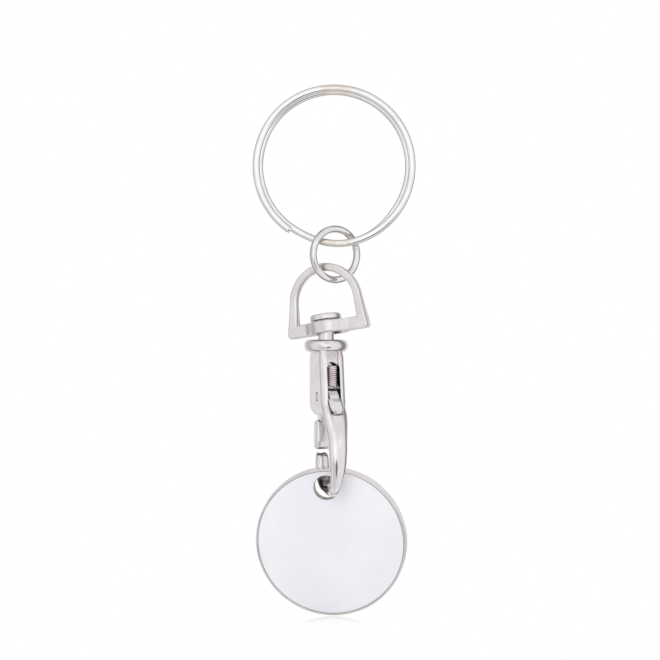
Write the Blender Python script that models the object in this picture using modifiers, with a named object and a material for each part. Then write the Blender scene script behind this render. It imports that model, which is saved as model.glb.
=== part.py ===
import math

import bmesh
import bpy
from mathutils import Matrix, Vector

# Trolley token on a swivel snap hook, hung from a split ring. Metres, +Z up.
# The origin is the point inside the top of the split ring that a finger or nail holds.
# Each link takes its height from the one above it, so a changed size moves what hangs below.

# Split ring: one flat wire wound twice. The band is both turns as seen from the front.
SPLIT_OUTER_RADIUS = 0.0125
SPLIT_BAND_WIDTH = 0.0016
SPLIT_WIRE_WIDTH = 0.0011
SPLIT_TURN_THICKNESS = 0.00068
SPLIT_TURN_GAP = 0.00008
SPLIT_EDGE_RADIUS = 0.00032
SPLIT_END_ANGLE = math.radians(236)
SPLIT_CROSSING = math.radians(44)
SPLIT_END_CLEARANCE = math.radians(2)
SPLIT_BACK_END_EASE = math.radians(50)
SPLIT_SEGMENTS = 144
SPLIT_INNER_RADIUS = SPLIT_OUTER_RADIUS - SPLIT_BAND_WIDTH

# Jump ring: round wire, butted but not soldered.
JUMP_RADIUS = 0.0039
JUMP_WIRE_RADIUS = 0.00055
JUMP_X = 0.00015
JUMP_Y = 0.00012
JUMP_CLEARANCE = 0.00071
JUMP_YAW = math.radians(31)
JUMP_SEAM_ANGLE = math.radians(22)
JUMP_SEAM_WIDTH = 0.00012
JUMP_SEGMENTS = 48
JUMP_SIDES = 14
JUMP_Z = -2 * SPLIT_INNER_RADIUS + JUMP_WIRE_RADIUS + JUMP_CLEARANCE - JUMP_RADIUS
JUMP_CENTRE = Vector((JUMP_X, JUMP_Y, JUMP_Z))

# Swivel loop: a cast D with a round boss in the middle of its base bar.
LOOP_X = -0.00078
LOOP_Y = -0.00095
LOOP_CLEARANCE = 0.00085
LOOP_ROLL = math.radians(-6.5)
LOOP_PITCH = math.radians(-6.0)
LOOP_YAW = math.radians(-24)
BOSS_RADIUS = 0.0031
BOSS_HEIGHT = 0.0019
BOSS_BORE_RADIUS = 0.00198
BOSS_EDGE = 0.00018
BOSS_SIDES = 36
BAR_HALF_LENGTH = 0.0066
BAR_HEIGHT = 0.00196
BAR_DEPTH = 0.0017
BAR_EDGE = 0.0003
FLARE_FOOT_X = 0.00385
FLARE_TOP_X = 0.00172
FLARE_TOP_Y = 0.00248
FLARE_INSET = 0.00004
LEG_FOOT_X = 0.00585
LEG_FOOT_DROP = 0.0007
LEG_LEAN = math.radians(6.5)
ARCH_SPRING_HEIGHT = 0.0043
ARCH_APEX_HEIGHT = 0.0093
ARCH_HALF_WIDTH = 0.00062
ARCH_HALF_DEPTH = 0.00066
ARCH_CORNER_SHARE = 0.62
ARCH_PULL_SHARE = 0.5
FOOT_GROWTH_SHARE = 0.3
ARCH_STEPS = 26
LEG_STEPS = 5
LOOP_Z = (
    JUMP_Z
    - JUMP_RADIUS
    + JUMP_WIRE_RADIUS
    + ARCH_HALF_WIDTH
    + LOOP_CLEARANCE
    - ARCH_APEX_HEIGHT
)
LOOP_CENTRE = Vector((LOOP_X, LOOP_Y, LOOP_Z))

# Swivel axis and the plane of the hook.
SWIVEL_X = -0.00122
SWIVEL_Y = -0.00095
HOOK_YAW = math.radians(20)
SWIVEL_U = 0.00095

# Hook body. u runs from the gate side to the spine side.
COLLAR_CLEARANCE = 0.00093
COLLAR_TOP = LOOP_Z - BOSS_HEIGHT / 2 - COLLAR_CLEARANCE
COLLAR_TOP_RADIUS = 0.0023
COLLAR_RADIUS = 0.00334
COLLAR_LENGTH = 0.0027
COLLAR_BEAD_HEIGHT = 0.00195
COLLAR_ROUND_POWER_SHARE = 0.7
COLLAR_SIDES = 40
NECK_RADIUS = 0.00184
NECK_START_SHARE = 0.99
BODY_DROP = 0.0015
BODY_LENGTH = 0.01005
BODY_BACK_U = -0.0017
BODY_FRONT_U_TOP = 0.0039
BODY_FRONT_U_BOTTOM = 0.0050
BODY_FLARE_LENGTH = 0.009
BODY_HALF_WIDTH = 0.00198
BODY_CORNER = 0.0009
BODY_SIDES_PER_CORNER = 6
BODY_TOP = COLLAR_TOP - BODY_DROP
BODY_BOTTOM = BODY_TOP - BODY_LENGTH
# Each row: share of the body's length from its top, inset as a share of its corner radius.
BODY_SECTION_SHARES = (
    (0.0, 0.28),
    (0.07, 0.07),
    (0.14, 0.0),
    (0.4, 0.0),
    (0.65, 0.0),
    (0.826, 0.0),
    (0.896, 0.11),
    (0.935, 0.29),
    (0.975, 0.62),
    (1.0, 0.98),
)

# Swivel rivet.
RIVET_HEAD_RADIUS = 0.0024
RIVET_HEAD_CLEARANCE = 0.00017
RIVET_HEAD_HEIGHT = 0.0011
RIVET_HEAD_EDGE = 0.00035
RIVET_DOME = 0.00022
RIVET_DOME_RADIUS_SHARE = 0.5
RIVET_DOME_HEIGHT_SHARE = 0.25
RIVET_POST_RADIUS = 0.00125
RIVET_POST_DEPTH = 0.0024
RIVET_SIDES = 32
RIVET_POST_BOTTOM = COLLAR_TOP - RIVET_POST_DEPTH
BORE_CLEARANCE = 0.00015
BORE_END_CLEARANCE = 0.0002
BORE_RADIUS = RIVET_POST_RADIUS + BORE_CLEARANCE
BORE_BOTTOM = RIVET_POST_BOTTOM - BORE_END_CLEARANCE

# Pivot of the gate lever.
PIVOT_U = 0.0022
PIVOT_RISE = 0.00285
PIVOT_Z = BODY_BOTTOM + PIVOT_RISE
PIN_RADIUS = 0.000575
PIN_END_INSET = 0.00004
PIN_HALF_LENGTH = BODY_HALF_WIDTH - PIN_END_INSET
PIN_EDGE = 0.0001
PIN_SIDES = 24
PIN_HOLE_CLEARANCE = 0.0001

# Slot on the spine side, with the spring pocket at its top.
SLOT_HALF_WIDTH = 0.00102
POCKET_HALF_WIDTH = 0.00098
SCOOP_HALF_WIDTH = 0.0009
SLOT_TOP_DROP = 0.00345
SLOT_FLOOR_DROP = 0.00276
SLOT_TOP = COLLAR_TOP - SLOT_TOP_DROP
SLOT_BOTTOM = PIVOT_Z - SLOT_FLOOR_DROP
SPRING_POCKET_BACK_U = 0.0020
LEVER_POCKET_BACK_U = -0.00105
LEVER_POCKET_RISE = 0.0018
LEVER_POCKET_FRONT_U = 0.0031
SCOOP_DROP = 0.0017
SCOOP_DEPTH = 0.00055
SLOT_REACH = 0.004

# Gate lever. Outline points are given from the pivot: away towards the spine, and up.
LEVER_HUB_RADIUS = 0.00118
LEVER_HALF_WIDTH = 0.0008
LEVER_BORE_CLEARANCE = 0.00014
LEVER_EDGE = 0.00012
LEVER_HUB_DEGREES = (165, 140, 115, 90, 70)
LEVER_BACK_POINTS = (
    (-0.00305, -0.0042),
    (-0.00305, -0.0022),
    (-0.0023, -0.0008),
)
LEVER_TAB_POINTS = (
    (0.0010, 0.00105),
    (0.0017, 0.0009),
    (0.0023, 0.0003),
    (0.0028, -0.0004),
    (0.0034, -0.001),
    (0.0039, -0.0018),
    (0.0037, -0.0022),
    (0.0031, -0.00245),
    (0.0022, -0.0023),
    (0.0011, -0.00175),
    (0.0002, -0.0018),
    (-0.0006, -0.0023),
    (-0.00135, -0.00305),
    (-0.0015, -0.0042),
)
# Thumb pad on the lever's outer end: its side on the hook, then its outer side.
PAD_INNER_POINTS = (
    (0.00275, -0.0004),
    (0.0031, -0.001),
    (0.00355, -0.0018),
    (0.004, -0.0025),
)
PAD_OUTER_POINTS = (
    (0.00425, -0.00255),
    (0.00435, -0.0021),
    (0.0041, -0.0014),
    (0.0037, -0.00075),
    (0.00325, -0.0003),
)
PAD_HALF_WIDTH = 0.00112
PAD_SLICES = 8
PAD_END_SHORTENING_SHARE = 0.42
PAD_END_THINNING_SHARE = 0.45
ARM_HALF_WIDTH = 0.00144
ARM_SHOULDER_DROP = 0.00075
ARM_BACK_U = -0.00105
ARM_FRONT_U = 0.00085
ARM_EDGE = 0.00032
ARM_SHOULDER_INSET = 0.0001
ARM_TOE_INSET = 0.00035
ARM_FRONT_INSET = 0.00005
ARM_TOE_LENGTH = 0.0012
ARM_END_CLEARANCE = 0.00037
ARM_SHOULDER = BODY_BOTTOM - ARM_SHOULDER_DROP

# Gate spring, in the slot between its round top and the lever.
SPRING_U = 0.0031
SPRING_TOP_CLEARANCE = 0.0004
SPRING_SEAT_RISE = 0.0014
SPRING_COIL_RADIUS = 0.00066
SPRING_WIRE_RADIUS = 0.00014
SPRING_PITCH = 0.00033
SPRING_STEPS_PER_TURN = 14
SPRING_SIDES = 6
SPRING_CLOSED_SHARE = 0.1
SPRING_TOP = SLOT_TOP - SPRING_TOP_CLEARANCE
SPRING_BOTTOM = PIVOT_Z + SPRING_SEAT_RISE
SPRING_TURNS = (SPRING_TOP - SPRING_BOTTOM - 2 * SPRING_WIRE_RADIUS) / SPRING_PITCH

# Spine, bend and tip: centre line (u, drop below the body), half width, half thickness,
# and how far the middle stands to the side.
SPINE_STATIONS = (
    (0.00340, -0.00285, 0.00180, 0.00100, 0.00000),
    (0.00410, -0.00125, 0.00190, 0.00105, 0.00000),
    (0.00490, 0.00025, 0.00192, 0.00118, 0.00000),
    (0.00552, 0.00175, 0.00175, 0.00118, 0.00000),
    (0.00600, 0.00345, 0.00153, 0.00108, 0.00000),
    (0.00626, 0.00525, 0.00144, 0.00100, 0.00000),
    (0.00630, 0.00695, 0.00134, 0.00093, 0.00000),
    (0.00612, 0.00855, 0.00120, 0.00086, 0.00000),
    (0.00570, 0.01015, 0.00104, 0.00081, 0.00000),
    (0.00496, 0.01140, 0.00088, 0.00078, 0.00000),
    (0.00385, 0.01153, 0.00070, 0.00068, 0.00000),
    (0.00265, 0.01107, 0.00068, 0.00066, -0.00005),
    (0.00160, 0.01067, 0.00084, 0.00064, -0.00014),
    (0.00080, 0.00985, 0.00102, 0.00064, -0.00022),
    (0.00034, 0.00885, 0.00108, 0.00070, -0.00028),
    (0.00014, 0.00775, 0.00106, 0.00080, -0.00032),
    (0.00006, 0.00660, 0.00102, 0.00088, -0.00034),
)
SPINE_SUBDIVISIONS = 3
SPINE_SIDES = 20
SPINE_ROUND_POWER_SHARE = 0.85
TIP_BEVEL_RISE = 0.0007
TIP_EDGE_SHARE = 0.8
TIP_SLANT_SHARE = 0.4
TIP_TOP = BODY_BOTTOM - SPINE_STATIONS[-1][1] + TIP_BEVEL_RISE * (1 + TIP_SLANT_SHARE)
ARM_END = TIP_TOP + ARM_END_CLEARANCE

# Coin shaped token. It hangs by its hole on the bend, a land's width below its own edge.
COIN_RADIUS = 0.0116
COIN_THICKNESS = 0.00195
COIN_RIM_WIDTH = 0.0004
COIN_RIM_EDGE = 0.0002
COIN_RIM_INNER_EDGE = 0.0001
COIN_RECESS = 0.00032
INLAY_THICKNESS = 0.00022
INLAY_EDGE = 0.00005
INLAY_FLOOR_GAP = 0.00004
INLAY_RADIAL_GAP = 0.00006
INLAY_HOLE_GAP = 0.00005
COIN_DIRECTION = Vector((-0.14, -0.965, -0.22)).normalized()
COIN_ROLL = math.radians(4.87)
COIN_SIDES = 96
HOLE_RADIUS = 0.00188
HOLE_LAND = 0.00105
HOLE_X = -0.00112
HOLE_LIFT = 0.00025
HOLE_SIDES = 32
WIRE_IN_HOLE_U = 0.00248
WIRE_IN_HOLE_DROP = 0.01113
WIRE_IN_HOLE_Z = BODY_BOTTOM - WIRE_IN_HOLE_DROP
HOLE_Z = WIRE_IN_HOLE_Z + HOLE_LIFT

BOOLEAN_MARGIN = 0.002
WELD_DISTANCE = 0.000002

OBJECTS = bpy.data.collections.new("trolley_token_keyring")
CUTTERS = bpy.data.collections.new("cutters")
CUTTERS.hide_render = True


def clear_scene():
    for obj in list(bpy.data.objects):
        bpy.data.objects.remove(obj, do_unlink=True)
    bpy.context.scene.collection.children.link(OBJECTS)
    bpy.context.scene.collection.children.link(CUTTERS)


def make_material(name, colour, metallic, roughness):
    material = bpy.data.materials.new(name)
    material.use_nodes = True
    shader = material.node_tree.nodes["Principled BSDF"]
    shader.inputs["Base Color"].default_value = (*colour, 1)
    shader.inputs["Metallic"].default_value = metallic
    shader.inputs["Roughness"].default_value = roughness
    return material


def finish_mesh(bm, name, collection, material=None):
    bmesh.ops.recalc_face_normals(bm, faces=bm.faces)
    mesh = bpy.data.meshes.new(name)
    bm.to_mesh(mesh)
    bm.free()
    obj = bpy.data.objects.new(name, mesh)
    collection.objects.link(obj)
    if material:
        mesh.materials.append(material)
    if collection is CUTTERS:
        obj.hide_render = True
        obj.display_type = "WIRE"
    return obj


def circle_section(radius, sides, squash=1.0):
    step = 2 * math.pi / sides
    return [
        (radius * math.cos(i * step), radius * squash * math.sin(i * step))
        for i in range(sides)
    ]


def rounded_section(half_a, half_b, corner, per_corner):
    """A rounded rectangle as a list of (a, b)."""
    points = []
    for quarter in range(4):
        sign_a = 1 if quarter in (0, 3) else -1
        sign_b = 1 if quarter in (0, 1) else -1
        for i in range(per_corner + 1):
            angle = math.pi / 2 * (quarter + i / per_corner)
            points.append(
                (
                    sign_a * (half_a - corner) + corner * math.cos(angle),
                    sign_b * (half_b - corner) + corner * math.sin(angle),
                )
            )
    return points


def loft(loops, closed=False):
    """A solid through equal loops of points, capped at both ends unless closed."""
    bm = bmesh.new()
    rows = [[bm.verts.new(point) for point in loop] for loop in loops]
    count = len(rows[0])
    pairs = list(zip(rows, rows[1:]))
    if closed:
        pairs.append((rows[-1], rows[0]))
    for first, second in pairs:
        for i in range(count):
            j = (i + 1) % count
            bm.faces.new((first[i], first[j], second[j], second[i]))
    if not closed:
        bm.faces.new(rows[0])
        bm.faces.new(rows[-1])
    return bm


def sweep(path, side_axis, sections, closed=False):
    """Loops around a path whose side axis stays the same, or is given for each point."""
    loops = []
    count = len(path)
    for i, point in enumerate(path):
        before = path[i - 1] if closed or i else path[0]
        after = path[(i + 1) % count] if closed or i < count - 1 else path[-1]
        tangent = (after - before).normalized()
        side = side_axis[i] if isinstance(side_axis, list) else side_axis
        out = tangent.cross(side).normalized()
        across = out.cross(tangent).normalized()
        section = sections[i] if isinstance(sections[0], list) else sections
        loops.append([point + out * a + across * b for a, b in section])
    return loops


def lathe(profile, sides):
    """Turns (radius, z) points about Z. Points at radius 0 close the ends."""
    bm = bmesh.new()
    step = 2 * math.pi / sides
    rows = []
    for radius, height in profile:
        if radius == 0:
            rows.append([bm.verts.new((0, 0, height))])
        else:
            rows.append(
                [
                    bm.verts.new(
                        (radius * math.cos(i * step), radius * math.sin(i * step), height)
                    )
                    for i in range(sides)
                ]
            )
    for first, second in zip(rows, rows[1:]):
        for i in range(sides):
            j = (i + 1) % sides
            corners = []
            for row, index in ((first, i), (first, j), (second, j), (second, i)):
                vertex = row[0] if len(row) == 1 else row[index]
                if vertex not in corners:
                    corners.append(vertex)
            if len(corners) > 2:
                bm.faces.new(corners)
    return bm


def prism(outline, half_depth):
    """Extrudes an outline of (x, z) points along Y to both sides."""
    front = [Vector((x, -half_depth, z)) for x, z in outline]
    back = [Vector((x, half_depth, z)) for x, z in outline]
    return loft([front, back])


def box(low, high):
    corners = [(low[0], low[1]), (high[0], low[1]), (high[0], high[1]), (low[0], high[1])]
    return loft([[Vector((x, y, z)) for x, y in corners] for z in (low[2], high[2])])


def apply_modifier(obj, kind, **settings):
    modifier = obj.modifiers.new(kind.lower(), kind)
    for key, value in settings.items():
        setattr(modifier, key, value)
    return modifier


def bake(obj):
    """Keeps the evaluated mesh, so that later cutters see plain geometry."""
    graph = bpy.context.evaluated_depsgraph_get()
    mesh = bpy.data.meshes.new_from_object(obj.evaluated_get(graph))
    obj.modifiers.clear()
    obj.data = mesh
    return obj


def weld(obj):
    """Joins points that a cut left closer together than the weld distance."""
    bm = bmesh.new()
    bm.from_mesh(obj.data)
    bmesh.ops.remove_doubles(bm, verts=bm.verts, dist=WELD_DISTANCE)
    bmesh.ops.dissolve_degenerate(bm, edges=bm.edges, dist=WELD_DISTANCE)
    bm.to_mesh(obj.data)
    bm.free()


def boolean(obj, operand, operation):
    apply_modifier(
        obj, "BOOLEAN", object=operand, operation=operation, solver="EXACT"
    )
    bpy.context.view_layer.update()
    bake(obj)
    weld(obj)


def bevel(obj, width, segments=2, angle=40):
    apply_modifier(
        obj,
        "BEVEL",
        width=width,
        segments=segments,
        limit_method="ANGLE",
        angle_limit=math.radians(angle),
        use_clamp_overlap=True,
    )
    bpy.context.view_layer.update()
    bake(obj)


def smooth(obj, angle=38):
    obj.data.shade_smooth()
    for edge in obj.data.edges:
        edge.use_edge_sharp = False
    bm = bmesh.new()
    bm.from_mesh(obj.data)
    limit = math.radians(angle)
    for edge in bm.edges:
        if len(edge.link_faces) == 2 and edge.calc_face_angle(0) > limit:
            edge.smooth = False
    bm.to_mesh(obj.data)
    bm.free()


def place(obj, matrix):
    obj.data.transform(matrix)
    return obj


HOOK_FRAME = Matrix.Translation((SWIVEL_X, SWIVEL_Y, 0)) @ Matrix.Rotation(
    HOOK_YAW, 4, "Z"
)


def hook_point(u, across, height):
    """Local point of the hook from its own directions."""
    return Vector((across, SWIVEL_U - u, height))


def set_origin(obj, point):
    obj.data.transform(Matrix.Translation(-point))
    obj.location = point


def build_split_ring(material):
    """The front turn lies a little further out than the back one; they cross low down."""
    centre = Vector((0, 0, -SPLIT_INNER_RADIUS))
    middle = (SPLIT_OUTER_RADIUS + SPLIT_INNER_RADIUS) / 2
    radial_shift = (SPLIT_OUTER_RADIUS - SPLIT_INNER_RADIUS - SPLIT_WIRE_WIDTH) / 2
    axial_shift = (SPLIT_TURN_THICKNESS + SPLIT_TURN_GAP) / 2
    crossing_middle = SPLIT_END_ANGLE + SPLIT_END_CLEARANCE + SPLIT_CROSSING / 2
    length = 4 * math.pi - SPLIT_CROSSING - 2 * SPLIT_END_CLEARANCE
    half_crossing = SPLIT_CROSSING / 2
    path, sides = [], []
    for i in range(SPLIT_SEGMENTS + 1):
        travel = length * (i / SPLIT_SEGMENTS - 0.5)
        angle = crossing_middle - travel
        share = max(-1.0, min(1.0, travel / half_crossing))
        eased = math.sin(share * math.pi / 2)
        to_back_end = (length / 2 - travel) / SPLIT_BACK_END_EASE
        tucked = 1 + math.cos(math.pi * min(1.0, to_back_end))
        radial = Vector((math.cos(angle), 0, math.sin(angle)))
        path.append(
            centre
            + radial * (middle - radial_shift * (eased - tucked))
            + Vector((0, axial_shift * eased, 0))
        )
        sides.append(radial)
    section = rounded_section(
        SPLIT_TURN_THICKNESS / 2, SPLIT_WIRE_WIDTH / 2, SPLIT_EDGE_RADIUS, 2
    )
    obj = finish_mesh(
        loft(sweep(path, sides, section)), "split_ring", OBJECTS, material
    )
    smooth(obj)
    return obj


def build_jump_ring(material):
    frame = Matrix.Translation(JUMP_CENTRE) @ Matrix.Rotation(JUMP_YAW, 4, "Z")
    seam = JUMP_SEAM_WIDTH / JUMP_RADIUS
    path = []
    for i in range(JUMP_SEGMENTS + 1):
        angle = JUMP_SEAM_ANGLE + seam / 2 + (2 * math.pi - seam) * i / JUMP_SEGMENTS
        path.append(
            frame @ Vector((JUMP_RADIUS * math.cos(angle), 0, JUMP_RADIUS * math.sin(angle)))
        )
    side = (frame.to_3x3() @ Vector((0, 1, 0))).normalized()
    section = circle_section(JUMP_WIRE_RADIUS, JUMP_SIDES)
    obj = finish_mesh(loft(sweep(path, side, section)), "jump_ring", OBJECTS, material)
    smooth(obj)
    return obj


def loop_frame():
    turn = (
        Matrix.Rotation(LOOP_ROLL, 4, "Y")
        @ Matrix.Rotation(LOOP_PITCH, 4, "X")
        @ Matrix.Rotation(LOOP_YAW, 4, "Z")
    )
    return Matrix.Translation(LOOP_CENTRE) @ turn


def build_swivel_loop(material):
    lean = math.tan(LEG_LEAN)
    spring_x = LEG_FOOT_X - lean * ARCH_SPRING_HEIGHT
    rise = ARCH_APEX_HEIGHT - ARCH_SPRING_HEIGHT
    right = [
        Vector((LEG_FOOT_X - lean * h, 0, h))
        for h in [
            (ARCH_SPRING_HEIGHT + LEG_FOOT_DROP) * i / LEG_STEPS - LEG_FOOT_DROP
            for i in range(LEG_STEPS)
        ]
    ]
    arc = []
    for i in range(ARCH_STEPS + 1):
        angle = math.pi * i / ARCH_STEPS
        pull = ARCH_PULL_SHARE * lean * rise * math.sin(angle) * math.cos(angle)
        arc.append(
            Vector(
                (
                    spring_x * math.cos(angle) - pull,
                    0,
                    ARCH_SPRING_HEIGHT + rise * math.sin(angle),
                )
            )
        )
    left = [Vector((-p.x, 0, p.z)) for p in reversed(right)]
    path = right + arc + left
    sections = []
    for point in path:
        grow = 1 + FOOT_GROWTH_SHARE * max(0.0, 1 - point.z / ARCH_SPRING_HEIGHT)
        sections.append(
            rounded_section(
                ARCH_HALF_WIDTH * grow,
                ARCH_HALF_DEPTH * grow,
                ARCH_HALF_WIDTH * ARCH_CORNER_SHARE,
                3,
            )
        )
    bm = loft(sweep(path, Vector((0, 1, 0)), sections))
    obj = finish_mesh(bm, "swivel_loop", OBJECTS, material)

    bar = finish_mesh(
        box(
            (-BAR_HALF_LENGTH, -BAR_DEPTH / 2, -BAR_HEIGHT / 2),
            (BAR_HALF_LENGTH, BAR_DEPTH / 2, BAR_HEIGHT / 2),
        ),
        "loop_bar",
        CUTTERS,
    )
    bevel(bar, BAR_EDGE, 2)
    boss = finish_mesh(
        lathe(
            [
                (0, -BOSS_HEIGHT / 2),
                (BOSS_RADIUS - BOSS_EDGE, -BOSS_HEIGHT / 2),
                (BOSS_RADIUS, -BOSS_HEIGHT / 2 + BOSS_EDGE),
                (BOSS_RADIUS, BOSS_HEIGHT / 2 - BOSS_EDGE),
                (BOSS_RADIUS - BOSS_EDGE, BOSS_HEIGHT / 2),
                (0, BOSS_HEIGHT / 2),
            ],
            BOSS_SIDES,
        ),
        "loop_boss",
        CUTTERS,
    )
    bore = finish_mesh(
        lathe(
            [
                (0, -BOSS_HEIGHT),
                (BOSS_BORE_RADIUS, -BOSS_HEIGHT),
                (BOSS_BORE_RADIUS, BOSS_HEIGHT),
                (0, BOSS_HEIGHT),
            ],
            RIVET_SIDES,
        ),
        "loop_bore",
        CUTTERS,
    )
    flare_half = BOSS_HEIGHT / 2 - FLARE_INSET
    flare_foot_y = BAR_DEPTH / 2 - BAR_EDGE
    plan = [
        (FLARE_FOOT_X, -flare_foot_y),
        (FLARE_FOOT_X, flare_foot_y),
        (FLARE_TOP_X, FLARE_TOP_Y),
        (-FLARE_TOP_X, FLARE_TOP_Y),
        (-FLARE_FOOT_X, flare_foot_y),
        (-FLARE_FOOT_X, -flare_foot_y),
        (-FLARE_TOP_X, -FLARE_TOP_Y),
        (FLARE_TOP_X, -FLARE_TOP_Y),
    ]
    flare = finish_mesh(
        loft([[Vector((x, y, z)) for x, y in plan] for z in (-flare_half, flare_half)]),
        "loop_flare",
        CUTTERS,
    )
    bevel(flare, BOSS_EDGE, 2)
    boolean(obj, bar, "UNION")
    boolean(obj, flare, "UNION")
    boolean(obj, boss, "UNION")
    boolean(obj, bore, "DIFFERENCE")
    place(obj, loop_frame())
    smooth(obj)
    return obj


def build_rivet(material):
    """The post hangs plumb in the loose boss; the peened head lies flat on the boss."""
    top = RIVET_HEAD_HEIGHT
    dome = []
    steps = 4
    for i in range(steps + 1):
        angle = math.pi / 2 * i / steps
        dome.append(
            (
                RIVET_HEAD_RADIUS
                - RIVET_HEAD_EDGE
                + RIVET_HEAD_EDGE * math.cos(angle),
                top - RIVET_DOME - RIVET_HEAD_EDGE + RIVET_HEAD_EDGE * math.sin(angle),
            )
        )
    profile = (
        [
            (0, 0),
            (RIVET_HEAD_RADIUS - BOSS_EDGE, 0),
            (RIVET_HEAD_RADIUS, BOSS_EDGE),
        ]
        + dome
        + [
            (
                RIVET_HEAD_RADIUS * RIVET_DOME_RADIUS_SHARE,
                top - RIVET_DOME * RIVET_DOME_HEIGHT_SHARE,
            ),
            (0, top),
        ]
    )
    obj = finish_mesh(lathe(profile, RIVET_SIDES), "swivel_rivet", OBJECTS, material)
    boss = loop_frame()
    boss_axis = (boss.to_3x3() @ Vector((0, 0, 1))).normalized()
    seat = LOOP_CENTRE + boss_axis * (BOSS_HEIGHT / 2 + RIVET_HEAD_CLEARANCE)
    on_post = Vector((SWIVEL_X, SWIVEL_Y, LOOP_Z))
    on_post.z += (seat - on_post).dot(boss_axis) / boss_axis.z
    turn = boss_axis.to_track_quat("Z", "Y").to_matrix().to_4x4()
    place(obj, Matrix.Translation(on_post) @ turn)
    post_top = on_post.z + RIVET_HEAD_HEIGHT / 2
    post = finish_mesh(
        lathe(
            [
                (0, RIVET_POST_BOTTOM),
                (RIVET_POST_RADIUS, RIVET_POST_BOTTOM),
                (RIVET_POST_RADIUS, post_top),
                (0, post_top),
            ],
            RIVET_SIDES,
        ),
        "rivet_post",
        CUTTERS,
    )
    place(post, HOOK_FRAME)
    boolean(obj, post, "UNION")
    smooth(obj)
    return obj


def smooth_stations(stations, subdivisions):
    """Catmull-Rom points between the stations."""
    result = []
    last = len(stations) - 1
    for i in range(last):
        p0 = stations[max(i - 1, 0)]
        p1, p2 = stations[i], stations[i + 1]
        p3 = stations[min(i + 2, last)]
        for k in range(subdivisions):
            t = k / subdivisions
            values = []
            for a, b, c, d in zip(p0, p1, p2, p3):
                values.append(
                    0.5
                    * (
                        2 * b
                        + (c - a) * t
                        + (2 * a - 5 * b + 4 * c - d) * t * t
                        + (3 * b - a - 3 * c + d) * t**3
                    )
                )
            result.append(tuple(values))
    result.append(stations[-1])
    return result


def build_spine():
    stations = smooth_stations(SPINE_STATIONS, SPINE_SUBDIVISIONS)
    path = [
        hook_point(u, across, BODY_BOTTOM - drop) for u, drop, _, _, across in stations
    ]
    sections = []
    for _, _, half_width, half_thick, _ in stations:
        step = 2 * math.pi / SPINE_SIDES
        section = []
        for i in range(SPINE_SIDES):
            c, s = math.cos(i * step), math.sin(i * step)
            section.append(
                (
                    half_thick * math.copysign(abs(c) ** SPINE_ROUND_POWER_SHARE, c),
                    half_width * math.copysign(abs(s) ** SPINE_ROUND_POWER_SHARE, s),
                )
            )
        sections.append(section)
    loops = sweep(path, Vector((1, 0, 0)), sections)
    # The tip ends in a small slanted face that meets the gate.
    end_u, end_drop, _, end_thick, end_across = stations[-1]
    top = []
    centre = hook_point(end_u, end_across, BODY_BOTTOM - end_drop)
    for point in loops[-1]:
        offset = point - centre
        rise = TIP_BEVEL_RISE * (1 + TIP_SLANT_SHARE * offset.y / end_thick)
        top.append(
            centre
            + Vector((offset.x * TIP_EDGE_SHARE, offset.y * TIP_EDGE_SHARE, 0))
            + Vector((0, 0, rise))
        )
    loops.append(top)
    return finish_mesh(loft(loops), "hook_spine", CUTTERS)


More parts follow.
